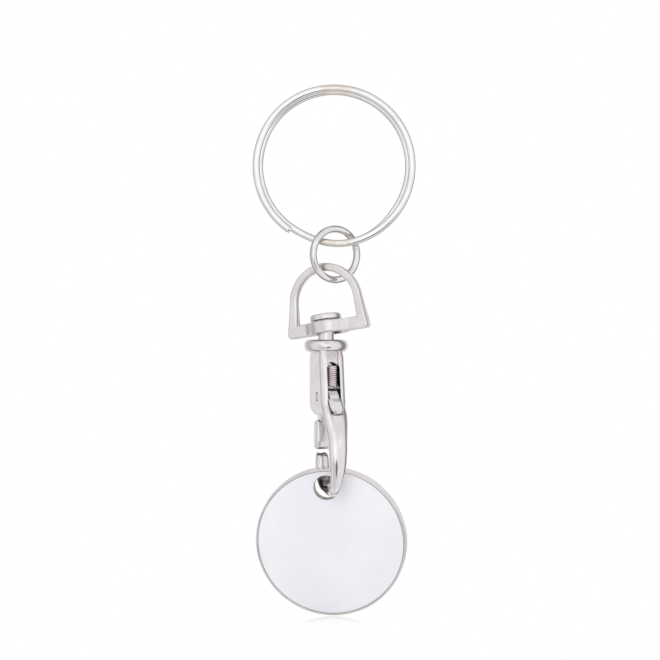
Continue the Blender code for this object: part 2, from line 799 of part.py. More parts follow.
def build_hook_body(material):
    loops = []
    for down_share, inset_share in BODY_SECTION_SHARES:
        drop = BODY_LENGTH * down_share
        inset = BODY_CORNER * inset_share
        flare_share = min(1.0, drop / BODY_FLARE_LENGTH)
        front = BODY_FRONT_U_TOP + (BODY_FRONT_U_BOTTOM - BODY_FRONT_U_TOP) * flare_share
        middle_u = (front + BODY_BACK_U) / 2
        half_u = (front - BODY_BACK_U) / 2 - inset
        half_w = BODY_HALF_WIDTH - inset
        corner = BODY_CORNER - inset / 2
        loops.append(
            [
                hook_point(middle_u + b, a, BODY_TOP - drop)
                for a, b in rounded_section(half_w, half_u, corner, BODY_SIDES_PER_CORNER)
            ]
        )
    obj = finish_mesh(loft(loops), "hook_body", OBJECTS, material)

    bead = []
    steps = 8
    bead_half = COLLAR_BEAD_HEIGHT / 2
    bead_middle = COLLAR_TOP - bead_half
    for i in range(steps + 1):
        angle = math.pi / 2 - math.pi * i / steps
        if i == 0:
            radius = COLLAR_TOP_RADIUS
        elif i == steps:
            radius = NECK_RADIUS * NECK_START_SHARE
        else:
            bulge = math.cos(angle) ** COLLAR_ROUND_POWER_SHARE
            radius = COLLAR_TOP_RADIUS + (COLLAR_RADIUS - COLLAR_TOP_RADIUS) * bulge
        bead.append((radius, bead_middle + bead_half * math.sin(angle)))
    collar = finish_mesh(
        lathe(
            [(0, COLLAR_TOP)]
            + bead
            + [
                (NECK_RADIUS, COLLAR_TOP - COLLAR_LENGTH),
                (0, COLLAR_TOP - COLLAR_LENGTH),
            ],
            COLLAR_SIDES,
        ),
        "hook_collar",
        CUTTERS,
    )
    boolean(obj, collar, "UNION")
    scoop_front = BODY_FRONT_U_TOP + SLOT_REACH
    scoop_back = BODY_FRONT_U_TOP - SCOOP_DEPTH
    scoop = finish_mesh(
        box(
            (-SCOOP_HALF_WIDTH, SWIVEL_U - scoop_front, SLOT_TOP - SLOT_HALF_WIDTH),
            (SCOOP_HALF_WIDTH, SWIVEL_U - scoop_back, COLLAR_TOP - SCOOP_DROP),
        ),
        "scoop_cutter",
        CUTTERS,
    )
    boolean(obj, scoop, "DIFFERENCE")
    boolean(obj, build_spine(), "UNION")

    # Slot with a round top, cut from the spine side into the spring pocket.
    outline = []
    steps = 8
    for i in range(steps + 1):
        angle = math.pi * i / steps
        outline.append(
            (
                SLOT_HALF_WIDTH * math.cos(angle),
                SLOT_TOP - SLOT_HALF_WIDTH + SLOT_HALF_WIDTH * math.sin(angle),
            )
        )
    outline += [(-SLOT_HALF_WIDTH, SLOT_BOTTOM), (SLOT_HALF_WIDTH, SLOT_BOTTOM)]
    reach = BODY_FRONT_U_BOTTOM + SLOT_REACH
    half = (reach - SPRING_POCKET_BACK_U) / 2
    slot = finish_mesh(prism(outline, half), "slot_cutter", CUTTERS)
    place(slot, Matrix.Translation((0, SWIVEL_U - SPRING_POCKET_BACK_U - half, 0)))
    boolean(obj, slot, "DIFFERENCE")

    pocket = finish_mesh(
        box(
            (
                -POCKET_HALF_WIDTH,
                SWIVEL_U - LEVER_POCKET_FRONT_U,
                BODY_BOTTOM - BOOLEAN_MARGIN,
            ),
            (
                POCKET_HALF_WIDTH,
                SWIVEL_U - LEVER_POCKET_BACK_U,
                PIVOT_Z + LEVER_POCKET_RISE,
            ),
        ),
        "pocket_cutter",
        CUTTERS,
    )
    boolean(obj, pocket, "DIFFERENCE")

    bore = finish_mesh(
        lathe(
            [
                (0, BORE_BOTTOM),
                (BORE_RADIUS, BORE_BOTTOM),
                (BORE_RADIUS, COLLAR_TOP + BOOLEAN_MARGIN),
                (0, COLLAR_TOP + BOOLEAN_MARGIN),
            ],
            RIVET_SIDES,
        ),
        "bore_cutter",
        CUTTERS,
    )
    boolean(obj, bore, "DIFFERENCE")
    pin_hole = pin_solid(
        PIN_RADIUS + PIN_HOLE_CLEARANCE, BODY_HALF_WIDTH + BOOLEAN_MARGIN, "pin_cutter"
    )
    boolean(obj, pin_hole, "DIFFERENCE")
    place(obj, HOOK_FRAME)
    smooth(obj)
    return obj


def pin_solid(radius, half_length, name, collection=CUTTERS, material=None, edge=0.0):
    profile = [(0, -half_length), (radius - edge, -half_length)]
    if edge:
        profile += [
            (radius, -half_length + edge),
            (radius, half_length - edge),
        ]
    profile += [(radius - edge, half_length), (0, half_length)]
    bm = lathe(profile, PIN_SIDES)
    obj = finish_mesh(bm, name, collection, material)
    place(
        obj,
        Matrix.Translation(hook_point(PIVOT_U, 0, PIVOT_Z))
        @ Matrix.Rotation(math.pi / 2, 4, "Y"),
    )
    return obj


def build_pivot_pin(material):
    obj = pin_solid(
        PIN_RADIUS, PIN_HALF_LENGTH, "pivot_pin", OBJECTS, material, PIN_EDGE
    )
    place(obj, HOOK_FRAME)
    smooth(obj)
    return obj


def extruded_lever(outline, half_width, name, collection, material=None):
    """Outline of (u, z) points, extruded across the hook."""
    left = [hook_point(u, -half_width, z) for u, z in outline]
    right = [hook_point(u, half_width, z) for u, z in outline]
    return finish_mesh(loft([left, right]), name, collection, material)


def build_thumb_pad():
    """Slices across the lever, shorter and thinner towards both sides."""
    loops = []
    base = Vector(PAD_INNER_POINTS[0])
    for i in range(PAD_SLICES + 1):
        angle = math.pi * i / PAD_SLICES
        side_share = math.cos(angle)
        shorter = 1 - PAD_END_SHORTENING_SHARE * side_share**4
        thinner = 1 - PAD_END_THINNING_SHARE * side_share**6
        points = [Vector(point) for point in PAD_INNER_POINTS]
        last = len(PAD_INNER_POINTS) - 1
        for k, point in enumerate(PAD_OUTER_POINTS):
            facing = points[max(0, last - k)]
            points.append(facing + (Vector(point) - facing) * thinner)
        loops.append(
            [
                hook_point(
                    PIVOT_U + base.x + (p.x - base.x) * shorter,
                    PAD_HALF_WIDTH * side_share,
                    PIVOT_Z + base.y + (p.y - base.y) * shorter,
                )
                for p in points
            ]
        )
    return finish_mesh(loft(loops), "thumb_pad", CUTTERS)


def build_gate_lever(material):
    hub = [
        (
            LEVER_HUB_RADIUS * math.cos(math.radians(degrees)),
            LEVER_HUB_RADIUS * math.sin(math.radians(degrees)),
        )
        for degrees in LEVER_HUB_DEGREES
    ]
    plate = [
        (PIVOT_U + away, PIVOT_Z + up)
        for away, up in [*LEVER_BACK_POINTS, *hub, *LEVER_TAB_POINTS]
    ]
    obj = extruded_lever(plate, LEVER_HALF_WIDTH, "gate_lever", OBJECTS, material)
    bevel(obj, LEVER_EDGE, 2)
    arm = [
        (ARM_BACK_U + ARM_SHOULDER_INSET, ARM_SHOULDER),
        (ARM_BACK_U, ARM_END + ARM_TOE_LENGTH),
        (ARM_BACK_U + ARM_SHOULDER_INSET, ARM_END),
        (ARM_FRONT_U - ARM_TOE_INSET, ARM_END),
        (ARM_FRONT_U, ARM_END + ARM_TOE_LENGTH),
        (ARM_FRONT_U - ARM_FRONT_INSET, ARM_SHOULDER),
    ]
    wide = extruded_lever(arm, ARM_HALF_WIDTH, "gate_arm", CUTTERS)
    bevel(wide, ARM_EDGE, 3)
    boolean(obj, wide, "UNION")
    boolean(obj, build_thumb_pad(), "UNION")
    hole = pin_solid(
        PIN_RADIUS + LEVER_BORE_CLEARANCE, LEVER_HALF_WIDTH * 2, "lever_hole"
    )
    boolean(obj, hole, "DIFFERENCE")
    place(obj, HOOK_FRAME)
    smooth(obj)
    set_origin(obj, HOOK_FRAME @ hook_point(PIVOT_U, 0, PIVOT_Z))
    return obj


def build_gate_spring(material):
    path, sides = [], []
    steps = int(SPRING_TURNS * SPRING_STEPS_PER_TURN)
    top = SPRING_TOP - SPRING_WIRE_RADIUS
    bottom = SPRING_BOTTOM + SPRING_WIRE_RADIUS
    for i in range(steps + 1):
        share = i / steps
        angle = 2 * math.pi * SPRING_TURNS * share
        # End coils lie nearly flat, as on a ground compression spring.
        wave = math.sin(2 * math.pi * share) / (2 * math.pi)
        eased = share - SPRING_CLOSED_SHARE * wave
        point = hook_point(
            SPRING_U + SPRING_COIL_RADIUS * math.cos(angle),
            SPRING_COIL_RADIUS * math.sin(angle),
            bottom + (top - bottom) * eased,
        )
        path.append(point)
        sides.append(Vector((0, 0, 1)))
    section = circle_section(SPRING_WIRE_RADIUS, SPRING_SIDES)
    obj = finish_mesh(loft(sweep(path, sides, section)), "gate_spring", OBJECTS, material)
    place(obj, HOOK_FRAME)
    smooth(obj)
    return obj


def coin_frame():
    """World matrix of the token: X across, Y away from the viewer, Z towards the hole."""
    wire = HOOK_FRAME @ hook_point(WIRE_IN_HOLE_U, 0, WIRE_IN_HOLE_Z)
    away = -COIN_DIRECTION
    rise = Vector((-math.sin(COIN_ROLL), 0, math.cos(COIN_ROLL)))
    rise.y = -rise.dot(away) / away.y
    up = rise.normalized()
    right = away.cross(up).normalized()
    hole = Vector((HOLE_X, wire.y, HOLE_Z))
    hole.y -= (hole - wire).dot(away) / away.y
    offset = COIN_RADIUS - HOLE_RADIUS - HOLE_LAND
    matrix = Matrix((right, away, up)).transposed().to_4x4()
    matrix.translation = hole - up * offset
    return matrix, offset, wire


def disc_profile_blank():
    half = COIN_THICKNESS / 2
    inner = COIN_RADIUS - COIN_RIM_WIDTH
    floor = half - COIN_RECESS
    edge = COIN_RIM_EDGE
    arc = []
    steps = 3
    for i in range(steps + 1):
        angle = math.pi / 2 * i / steps
        arc.append(
            (
                COIN_RADIUS - edge + edge * math.sin(angle),
                half - edge + edge * math.cos(angle),
            )
        )
    top = [
        (0, floor),
        (inner, floor),
        (inner, half - COIN_RIM_INNER_EDGE),
        (inner + COIN_RIM_INNER_EDGE, half),
    ] + arc
    bottom = [(r, -h) for r, h in reversed(top)]
    return top + bottom


def disc_to_coin(obj, matrix):
    """A lathed disc has its axis on Z; the token has it on its own Y."""
    place(obj, Matrix.Rotation(math.pi / 2, 4, "X"))
    obj.data.transform(matrix)


def drill_token(obj, offset, radius):
    reach = COIN_THICKNESS
    hole = finish_mesh(
        lathe([(0, -reach), (radius, -reach), (radius, reach), (0, reach)], HOLE_SIDES),
        "token_hole",
        CUTTERS,
    )
    # The disc is turned onto its edge later, which carries +Y here to +Z there.
    place(hole, Matrix.Translation((0, offset, 0)))
    boolean(obj, hole, "DIFFERENCE")


def build_coin(metal, white):
    matrix, offset, wire = coin_frame()
    blank = finish_mesh(
        lathe(disc_profile_blank(), COIN_SIDES), "coin_blank", OBJECTS, metal
    )
    drill_token(blank, offset, HOLE_RADIUS)
    disc_to_coin(blank, matrix)
    smooth(blank)
    set_origin(blank, wire)
    floor = COIN_THICKNESS / 2 - COIN_RECESS + INLAY_FLOOR_GAP
    radius = COIN_RADIUS - COIN_RIM_WIDTH - INLAY_RADIAL_GAP
    for name, side in (("front_inlay", 1), ("back_inlay", -1)):
        profile = [
            (0, floor),
            (radius, floor),
            (radius, floor + INLAY_THICKNESS - INLAY_EDGE),
            (radius - INLAY_EDGE, floor + INLAY_THICKNESS),
            (0, floor + INLAY_THICKNESS),
        ]
        inlay = finish_mesh(
            lathe([(r, side * h) for r, h in profile], COIN_SIDES), name, OBJECTS, white
        )
        drill_token(inlay, offset, HOLE_RADIUS + INLAY_HOLE_GAP)
        disc_to_coin(inlay, matrix)
        smooth(inlay)


clear_scene()
chrome = make_material("bright_nickel", (0.80, 0.80, 0.79), 1.0, 0.14)
build_split_ring(chrome)
build_jump_ring(make_material("bright_nickel_wire", (0.80, 0.80, 0.79), 1.0, 0.14))
build_swivel_loop(make_material("cast_nickel_loop", (0.78, 0.78, 0.77), 1.0, 0.18))
build_rivet(make_material("rivet_nickel", (0.80, 0.80, 0.79), 1.0, 0.16))
build_hook_body(make_material("cast_nickel_hook", (0.78, 0.78, 0.77), 1.0, 0.18))
build_gate_lever(make_material("cast_nickel_lever", (0.78, 0.78, 0.77), 1.0, 0.2))
build_pivot_pin(make_material("pin_steel", (0.70, 0.70, 0.70), 1.0, 0.25))
build_gate_spring(make_material("spring_steel", (0.66, 0.64, 0.62), 1.0, 0.3))
build_coin(
    make_material("token_nickel", (0.80, 0.80, 0.79), 1.0, 0.14),
    make_material("white_inlay", (0.86, 0.86, 0.88), 0.0, 0.35),
)
# Each moving piece turns about its own origin, so it lies on that joint's axis.
ring_centre = Vector((0, 0, -SPLIT_INNER_RADIUS))
arch_top = loop_frame() @ Vector((0, 0, ARCH_APEX_HEIGHT - ARCH_HALF_WIDTH))
wire_in_hole = coin_frame()[2]
for name, point in (
    ("jump_ring", ring_centre),
    ("swivel_loop", arch_top),
    ("hook_body", LOOP_CENTRE),
    ("swivel_rivet", LOOP_CENTRE),
    ("pivot_pin", LOOP_CENTRE),
    ("gate_spring", LOOP_CENTRE),
    ("front_inlay", wire_in_hole),
    ("back_inlay", wire_in_hole),
):
    set_origin(bpy.data.objects[name], point)
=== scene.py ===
# Trolley token on a swivel snap hook, hung from a split ring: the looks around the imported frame.
# Lengths in the dictionaries are millimetres and angles are degrees. Heights count from the
# hanging point, those of the swivel loop from the middle of its boss, and u runs from the
# gate side of the hook to its spine side.
import math

import bmesh
import bpy
from mathutils import Matrix, Vector


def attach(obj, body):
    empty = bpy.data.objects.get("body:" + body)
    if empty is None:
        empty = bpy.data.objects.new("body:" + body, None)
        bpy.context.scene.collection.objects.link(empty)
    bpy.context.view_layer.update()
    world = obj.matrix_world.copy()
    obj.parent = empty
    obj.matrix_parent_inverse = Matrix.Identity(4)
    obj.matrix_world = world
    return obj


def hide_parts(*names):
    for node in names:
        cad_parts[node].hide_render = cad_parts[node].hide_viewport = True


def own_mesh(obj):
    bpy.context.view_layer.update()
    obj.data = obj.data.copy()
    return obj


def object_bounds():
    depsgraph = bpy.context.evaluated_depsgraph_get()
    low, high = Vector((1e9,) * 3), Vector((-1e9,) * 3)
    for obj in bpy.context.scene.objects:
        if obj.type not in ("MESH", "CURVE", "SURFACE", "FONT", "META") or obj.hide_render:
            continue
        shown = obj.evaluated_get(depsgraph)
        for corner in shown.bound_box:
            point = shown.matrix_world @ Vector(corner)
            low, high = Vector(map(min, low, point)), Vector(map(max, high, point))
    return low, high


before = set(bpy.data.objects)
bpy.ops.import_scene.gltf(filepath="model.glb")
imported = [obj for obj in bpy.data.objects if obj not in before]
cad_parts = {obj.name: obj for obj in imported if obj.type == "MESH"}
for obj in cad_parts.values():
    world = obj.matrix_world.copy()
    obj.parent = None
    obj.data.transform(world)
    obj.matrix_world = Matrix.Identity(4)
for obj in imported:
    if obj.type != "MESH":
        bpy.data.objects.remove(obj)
cadLow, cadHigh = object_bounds()
mm = 0.001
print("frame loaded")


def mmVector(x, y, z):
    return Vector((x, y, z)) * mm


def turnAbout(axis, degrees):
    return Matrix.Rotation(math.radians(degrees), 4, axis)


# mesh helpers

def circleSection(radius, sides):
    return [
        (radius * math.cos(2 * math.pi * i / sides), radius * math.sin(2 * math.pi * i / sides))
        for i in range(sides)
    ]


def roundedSection(halfA, halfB, corner, perCorner):
    points = []
    for quarter in range(4):
        signA = 1 if quarter in (0, 3) else -1
        signB = 1 if quarter in (0, 1) else -1
        for i in range(perCorner + 1):
            angle = math.pi / 2 * (quarter + i / perCorner)
            points.append((
                signA * (halfA - corner) + corner * math.cos(angle),
                signB * (halfB - corner) + corner * math.sin(angle),
            ))
    return points


def powerSection(halfA, halfB, power, sides):
    # a superellipse: power 1 is an ellipse, smaller is squarer
    points = []
    for i in range(sides):
        c, s = math.cos(2 * math.pi * i / sides), math.sin(2 * math.pi * i / sides)
        points.append((
            halfA * math.copysign(abs(c) ** power, c),
            halfB * math.copysign(abs(s) ** power, s),
        ))
    return points


def sectionLength(points):
    # once round a section, in mm
    around = zip(points, points[1:] + points[:1])
    return sum(math.dist(first, second) for first, second in around) / mm


def sweepRows(path, side, sections):
    rows = []
    for i, point in enumerate(path):
        before, after = path[max(i - 1, 0)], path[min(i + 1, len(path) - 1)]
        tangent = (after - before).normalized()
        across = side[i] if isinstance(side, list) else side
        out = tangent.cross(across).normalized()
        across = out.cross(tangent).normalized()
        section = sections[i] if isinstance(sections[0], list) else sections
        rows.append([point + out * a + across * b for a, b in section])
    return rows


def loftRows(rows):
    # the UV map holds millimetres along the rows and round them, for marks that follow a wire
    bm = bmesh.new()
    uvLayer = bm.loops.layers.uv.new("wire")
    rings = [[bm.verts.new(point) for point in row] for row in rows]
    count = len(rings[0])
    along = [0.0]
    for first, second in zip(rows, rows[1:]):
        along.append(along[-1] + (second[0] - first[0]).length / mm)
    around = [0.0]
    for i in range(count):
        around.append(around[-1] + (rows[0][(i + 1) % count] - rows[0][i]).length / mm)
    for k, (first, second) in enumerate(zip(rings, rings[1:])):
        for i in range(count):
            j = (i + 1) % count
            face = bm.faces.new((first[i], first[j], second[j], second[i]))
            places = ((k, i), (k, i + 1), (k + 1, i + 1), (k + 1, i))
            for corner, (step, turn) in zip(face.loops, places):
                corner[uvLayer].uv = (along[step], around[turn])
    bm.faces.new(rings[0])
    bm.faces.new(rings[-1])
    return bm


def turnProfile(profile, sides):
    # turns (radius, height) points, in mm, about Z; a point of radius 0 closes the end
    bm = bmesh.new()
    rows = []
    for radius, height in profile:
        circle = circleSection(radius * mm, sides) if radius else [(0, 0)]
        rows.append([bm.verts.new((x, y, height * mm)) for x, y in circle])
    for first, second in zip(rows, rows[1:]):
        for i in range(sides):
            j = (i + 1) % sides
            corners = []
            for row, index in ((first, i), (first, j), (second, j), (second, i)):
                vertex = row[0] if len(row) == 1 else row[index]
                if vertex not in corners:
                    corners.append(vertex)
            if len(corners) > 2:
                bm.faces.new(corners)
    return bm


def rodMesh(radius, low, high, sides):
    return turnProfile([(0, low), (radius, low), (radius, high), (0, high)], sides)


def roundedProfile(corners, steps):
    # (radius, height, rounding) corners become a profile with arcs
    points = []
    last = len(corners) - 1
    for i, (r, h, rounding) in enumerate(corners):
        if rounding == 0 or i in (0, last):
            points.append((r, h))
            continue
        here = Vector((r, h))
        before = (Vector(corners[i - 1][:2]) - here).normalized()
        after = (Vector(corners[i + 1][:2]) - here).normalized()
        for k in range(steps + 1):
            t = k / steps
            a = here + before * rounding * (1 - t)
            b = here + after * rounding * t
            p = a.lerp(b, t)
            points.append((p.x, p.y))
    return points


def boxMesh(low, high):
    corners = [(low[0], low[1]), (high[0], low[1]), (high[0], high[1]), (low[0], high[1])]
    return loftRows([[Vector((x, y, z)) for x, y in corners] for z in (low[2], high[2])])


def newPiece(bm, name, matrix=None):
    bmesh.ops.recalc_face_normals(bm, faces=bm.faces)
    if matrix:
        bm.transform(matrix)
    mesh = bpy.data.meshes.new(name)
    bm.to_mesh(mesh)
    bm.free()
    piece = bpy.data.objects.new(name, mesh)
    bpy.context.scene.collection.objects.link(piece)
    return piece


def keepShape(piece):
    bpy.context.view_layer.update()
    graph = bpy.context.evaluated_depsgraph_get()
    mesh = bpy.data.meshes.new_from_object(piece.evaluated_get(graph))
    piece.modifiers.clear()
    piece.data = mesh


def combine(piece, other, operation):
    modifier = piece.modifiers.new(operation.lower(), "BOOLEAN")
    modifier.object = other
    modifier.operation = operation
    modifier.solver = "EXACT"
    keepShape(piece)
    bpy.data.objects.remove(other, do_unlink=True)


def join(piece, bm, matrix=None):
    combine(piece, newPiece(bm, "joined", matrix), "UNION")


def cut(piece, bm, matrix=None):
    combine(piece, newPiece(bm, "cut", matrix), "DIFFERENCE")


edgeAngle = 40  # corners that turn less than this stay as they are


def edgePiece(piece, width, segments):
    edging = piece.modifiers.new("edge", "BEVEL")
    edging.width = width * mm
    edging.segments = segments
    edging.limit_method = "ANGLE"
    edging.angle_limit = math.radians(edgeAngle)
    keepShape(piece)


def shadeSmooth(piece, angle=None):
    piece.data.shade_smooth()
    if angle:
        piece.data.set_sharp_from_angle(angle=math.radians(angle))


def castSurface(piece, size, place):
    # one even skin over all that was joined, its edges softened as on a polished casting
    remesh = piece.modifiers.new("skin", "REMESH")
    remesh.mode = "VOXEL"
    remesh.voxel_size = size["voxel"] * mm
    soften = piece.modifiers.new("soften", "SMOOTH")
    soften.iterations = size["softenRounds"]
    keepShape(piece)
    piece.data.transform(place)
    shadeSmooth(piece)


# shader helpers

class Sock:
    # a node's output that can be used in sums; each operation adds a Math node
    def __init__(self, kit, socket):
        self.kit = kit
        self.socket = socket

    def mathNode(self, operation, first, second=None):
        values = {0: first} if second is None else {0: first, 1: second}
        return self.kit.node("ShaderNodeMath", {"operation": operation}, values)

    def __add__(self, other):
        return self.mathNode("ADD", self, other)

    def __radd__(self, other):
        return self.mathNode("ADD", other, self)

    def __sub__(self, other):
        return self.mathNode("SUBTRACT", self, other)

    def __rsub__(self, other):
        return self.mathNode("SUBTRACT", other, self)

    def __mul__(self, other):
        return self.mathNode("MULTIPLY", self, other)

    def __rmul__(self, other):
        return self.mathNode("MULTIPLY", other, self)

    def __truediv__(self, other):
        return self.mathNode("DIVIDE", self, other)

    def __pow__(self, other):
        return self.mathNode("POWER", self, other)

    def __abs__(self):
        return self.mathNode("ABSOLUTE", self)


class Shading:
    def __init__(self, owner):
        owner.use_nodes = True
        self.tree = owner.node_tree
        self.tree.nodes.clear()

    def node(self, kind, settings=None, values=None, take=0):
        made = self.tree.nodes.new(kind)
        for key, value in (settings or {}).items():
            if key == "stops":
                ramp = made.color_ramp
                while len(ramp.elements) < len(value):
                    ramp.elements.new(1.0)
                for element, (position, colour) in zip(ramp.elements, value):
                    element.position = position
                    element.color = (*colour, 1)
            else:
                setattr(made, key, value)
        for key, value in (values or {}).items():
            if isinstance(value, Sock):
                self.tree.links.new(value.socket, made.inputs[key])
            else:
                made.inputs[key].default_value = value
        if take is None:
            return made
        return Sock(self, made.outputs[take])

    def coords(self):
        return self.node("ShaderNodeTexCoord", take="Object")

    def wirePlace(self):
        return self.node("ShaderNodeUVMap", {"uv_map": "wire"})

    def stretch(self, vector, scale):
        return self.node("ShaderNodeMapping", None, {"Vector": vector, "Scale": scale})

    def noise(self, vector, scale, detail=2.0, roughness=0.5):
        return self.node(
            "ShaderNodeTexNoise", None,
            {"Vector": vector, "Scale": scale, "Detail": detail, "Roughness": roughness},
        )

    def cells(self, vector, scale):
        return self.node("ShaderNodeTexVoronoi", None, {"Vector": vector, "Scale": scale})

    def ramp(self, factor, stops):
        return self.node("ShaderNodeValToRGB", {"stops": stops}, {"Fac": factor})

    def between(self, value, low, high, newLow=0.0, newHigh=1.0):
        return self.node(
            "ShaderNodeMapRange", {"interpolation_type": "SMOOTHSTEP"},
            {"Value": value, "From Min": low, "From Max": high, "To Min": newLow, "To Max": newHigh},
        )

    def mix(self, factor, first, second):
        def filled(colour):
            return colour if isinstance(colour, Sock) else (*colour, 1)
        return self.node(
            "ShaderNodeMix", {"data_type": "RGBA"},
            {0: factor, 6: filled(first), 7: filled(second)}, take=2,
        )

    def bump(self, height, strength, depth, under=None):
        # the depth is in mm
        values = {"Height": height, "Strength": strength, "Distance": depth * mm}
        if under is not None:
            values["Normal"] = under
        return self.node("ShaderNodeBump", None, values)

    def xyz(self, vector):
        parts = self.node("ShaderNodeSeparateXYZ", None, {"Vector": vector}, take=None)
        return [Sock(self, parts.outputs[k]) for k in range(3)]

    def crease(self, reach):
        # dark where other surfaces are closer than the reach, in mm
        return self.node(
            "ShaderNodeAmbientOcclusion", {"samples": 8, "only_local": False},
            {"Distance": reach * mm}, take="AO",
        )

    def output(self, shader, kind="ShaderNodeOutputMaterial"):
        self.node(kind, None, {"Surface": shader}, take=None)


def newMaterial(name):
    material = bpy.data.materials.new(name)
    return material, Shading(material)


def dress(piece, material, body, node):
    piece.data.materials.clear()
    piece.data.materials.append(material)
    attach(piece, body)
    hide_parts(node)


# materials

def metalShader(kit, colour, roughness, normal):
    return kit.node("ShaderNodeBsdfPrincipled", None, {
        "Base Color": colour, "Metallic": 1.0, "Roughness": roughness, "Normal": normal,
    })


# creaseReach is how far the dirt and painted shade reach from a crease; it and the depths of the
# finish are in mm
plating = {
    "light": (0.87, 0.85, 0.858),
    "shade": (0.80, 0.775, 0.787),
    "warm": (0.82, 0.765, 0.71),
    # dark for pits, creases and holes, where dirt sits and painted shade falls
    "grimeAndShade": (0.16, 0.135, 0.125),
    "bareMetal": (0.66, 0.61, 0.57),
    "roughness": 0.11, "creaseReach": 0.6, "rippleDepth": 0.02, "polishDepth": 0.008,
}
wireLook = {
    **plating, "light": (0.90, 0.90, 0.905), "shade": (0.84, 0.84, 0.845),
    "warm": (0.83, 0.81, 0.78), "edge": (0.50, 0.495, 0.50),
}
rubbedAndReflectedWarm = (0.74, 0.68, 0.60)  # warm where one link rubs on the next, partly a painted warm reflection


def addCreaseDirtAndShade(kit, tone, look, low, high, share, colour="grimeAndShade"):
    # dirt that collects where surfaces meet, and painted shade there: darker where other surfaces
    # are close
    crease = kit.crease(look["creaseReach"])
    return kit.mix((1 - kit.between(crease, low, high)) * share, tone, look[colour])


def addStains(kit, place, tone, stains):
    # round patches; reach and core in mm, then how strong and which colour
    for centre, reach, core, share, colour in stains:
        away = kit.node(
            "ShaderNodeVectorMath", {"operation": "DISTANCE"}, {0: place, 1: centre}, take="Value",
        )
        patchy = kit.between(kit.noise(place, 1300.0, 3.0), 0.36, 0.62, 0.55, 1.0)
        inside = kit.between(away, core * mm, reach * mm, 1.0, 0.0)
        tone = kit.mix(inside * patchy * share, tone, colour)
    return tone


def wireMaterial(name, look, perimeter=None, edgeTurn=0.0):
    # nickel on drawn wire: fine lines along it, small dull patches, warm where keys rub, partly a
    # painted warm reflection, a painted dark reflection along the rolled edges and painted shade in
    # creases
    material, kit = newMaterial(name)
    wire = kit.wirePlace()
    place = kit.coords()
    drawn = kit.noise(kit.stretch(wire, (0.35, 9.0, 1.0)), 3.0, 4.0, 0.65)
    scratch = kit.noise(kit.stretch(wire, (0.9, 22.0, 1.0)), 2.0, 2.0)
    patch = kit.noise(place, 420.0, 3.0)
    tone = kit.mix(kit.between(patch, 0.35, 0.7), look["light"], look["shade"])
    tone = kit.mix(kit.between(drawn, 0.58, 0.8) * 0.35, tone, look["warm"])
    if perimeter:
        # the rolled edges of the wire get a painted dark reflection, darker than its faces
        turn = kit.xyz(wire)[1] / perimeter + edgeTurn
        fromFace = kit.node("ShaderNodeMath", {"operation": "PINGPONG"}, {0: turn, 1: 0.25})
        tone = kit.mix(kit.between(fromFace, 0.12, 0.17) * 0.7, tone, look["edge"])
    tone = addStains(kit, place, tone, look.get("stains", ()))
    # dirt and painted shade where surfaces meet
    tone = addCreaseDirtAndShade(kit, tone, look, 0.05, 0.6, 0.75)
    rough = look["roughness"] + kit.between(patch, 0.45, 0.75) * 0.07
    rough = rough + kit.between(scratch, 0.6, 0.75) * 0.12
    ripple = kit.noise(place, 700.0, 1.0)
    normal = kit.bump(ripple, 0.12, look["rippleDepth"])
    normal = kit.bump(drawn * 0.6 + scratch * 0.4, 0.18, look["polishDepth"], normal)
    kit.output(metalShader(kit, tone, rough, normal))
    return material


def castMaterial(name, look):
    # nickel on a zinc casting: soft ripple under the polish, a few pits, dirt and painted shade in
    # the corners
    material, kit = newMaterial(name)
    place = kit.coords()
    cloud = kit.noise(place, 300.0, 3.0)
    fine = kit.noise(place, 2600.0, 2.0)
    pits = kit.cells(place, 1500.0)
    pitMask = (1 - kit.between(pits, 0.05, 0.16)) * kit.between(kit.noise(place, 500.0), 0.55, 0.7)
    buffed = kit.noise(kit.stretch(place, (1.0, 1.0, 0.08)), 5200.0, 2.0)
    tone = kit.mix(kit.between(cloud, 0.35, 0.68), look["light"], look["shade"])
    # dirt and painted shade in the corners
    tone = addCreaseDirtAndShade(kit, tone, look, 0.08, 0.62, look["dirtAndShade"])
    tone = kit.mix(pitMask * 0.5, tone, look["grimeAndShade"])
    ridge = kit.node("ShaderNodeNewGeometry", take="Pointiness")
    worn = kit.between(ridge, 0.53, 0.6) * kit.between(cloud, 0.4, 0.6)
    tone = kit.mix(worn * 0.35, tone, look["bareMetal"])
    tone = addStains(kit, place, tone, look.get("stains", ()))
    rough = look["roughness"] + kit.between(cloud, 0.4, 0.75) * 0.08
    rough = rough + kit.between(fine, 0.55, 0.8) * 0.06 + worn * 0.08
    normal = kit.bump(kit.noise(place, 650.0, 1.0), 0.25, look["rippleDepth"])
    normal = kit.bump(buffed * 0.4 + fine * 0.6, 0.12, look["polishDepth"], normal)
    normal = kit.bump(1 - pitMask, 0.4, look["pitDepth"], normal)
    kit.output(metalShader(kit, tone, rough, normal))
    return material


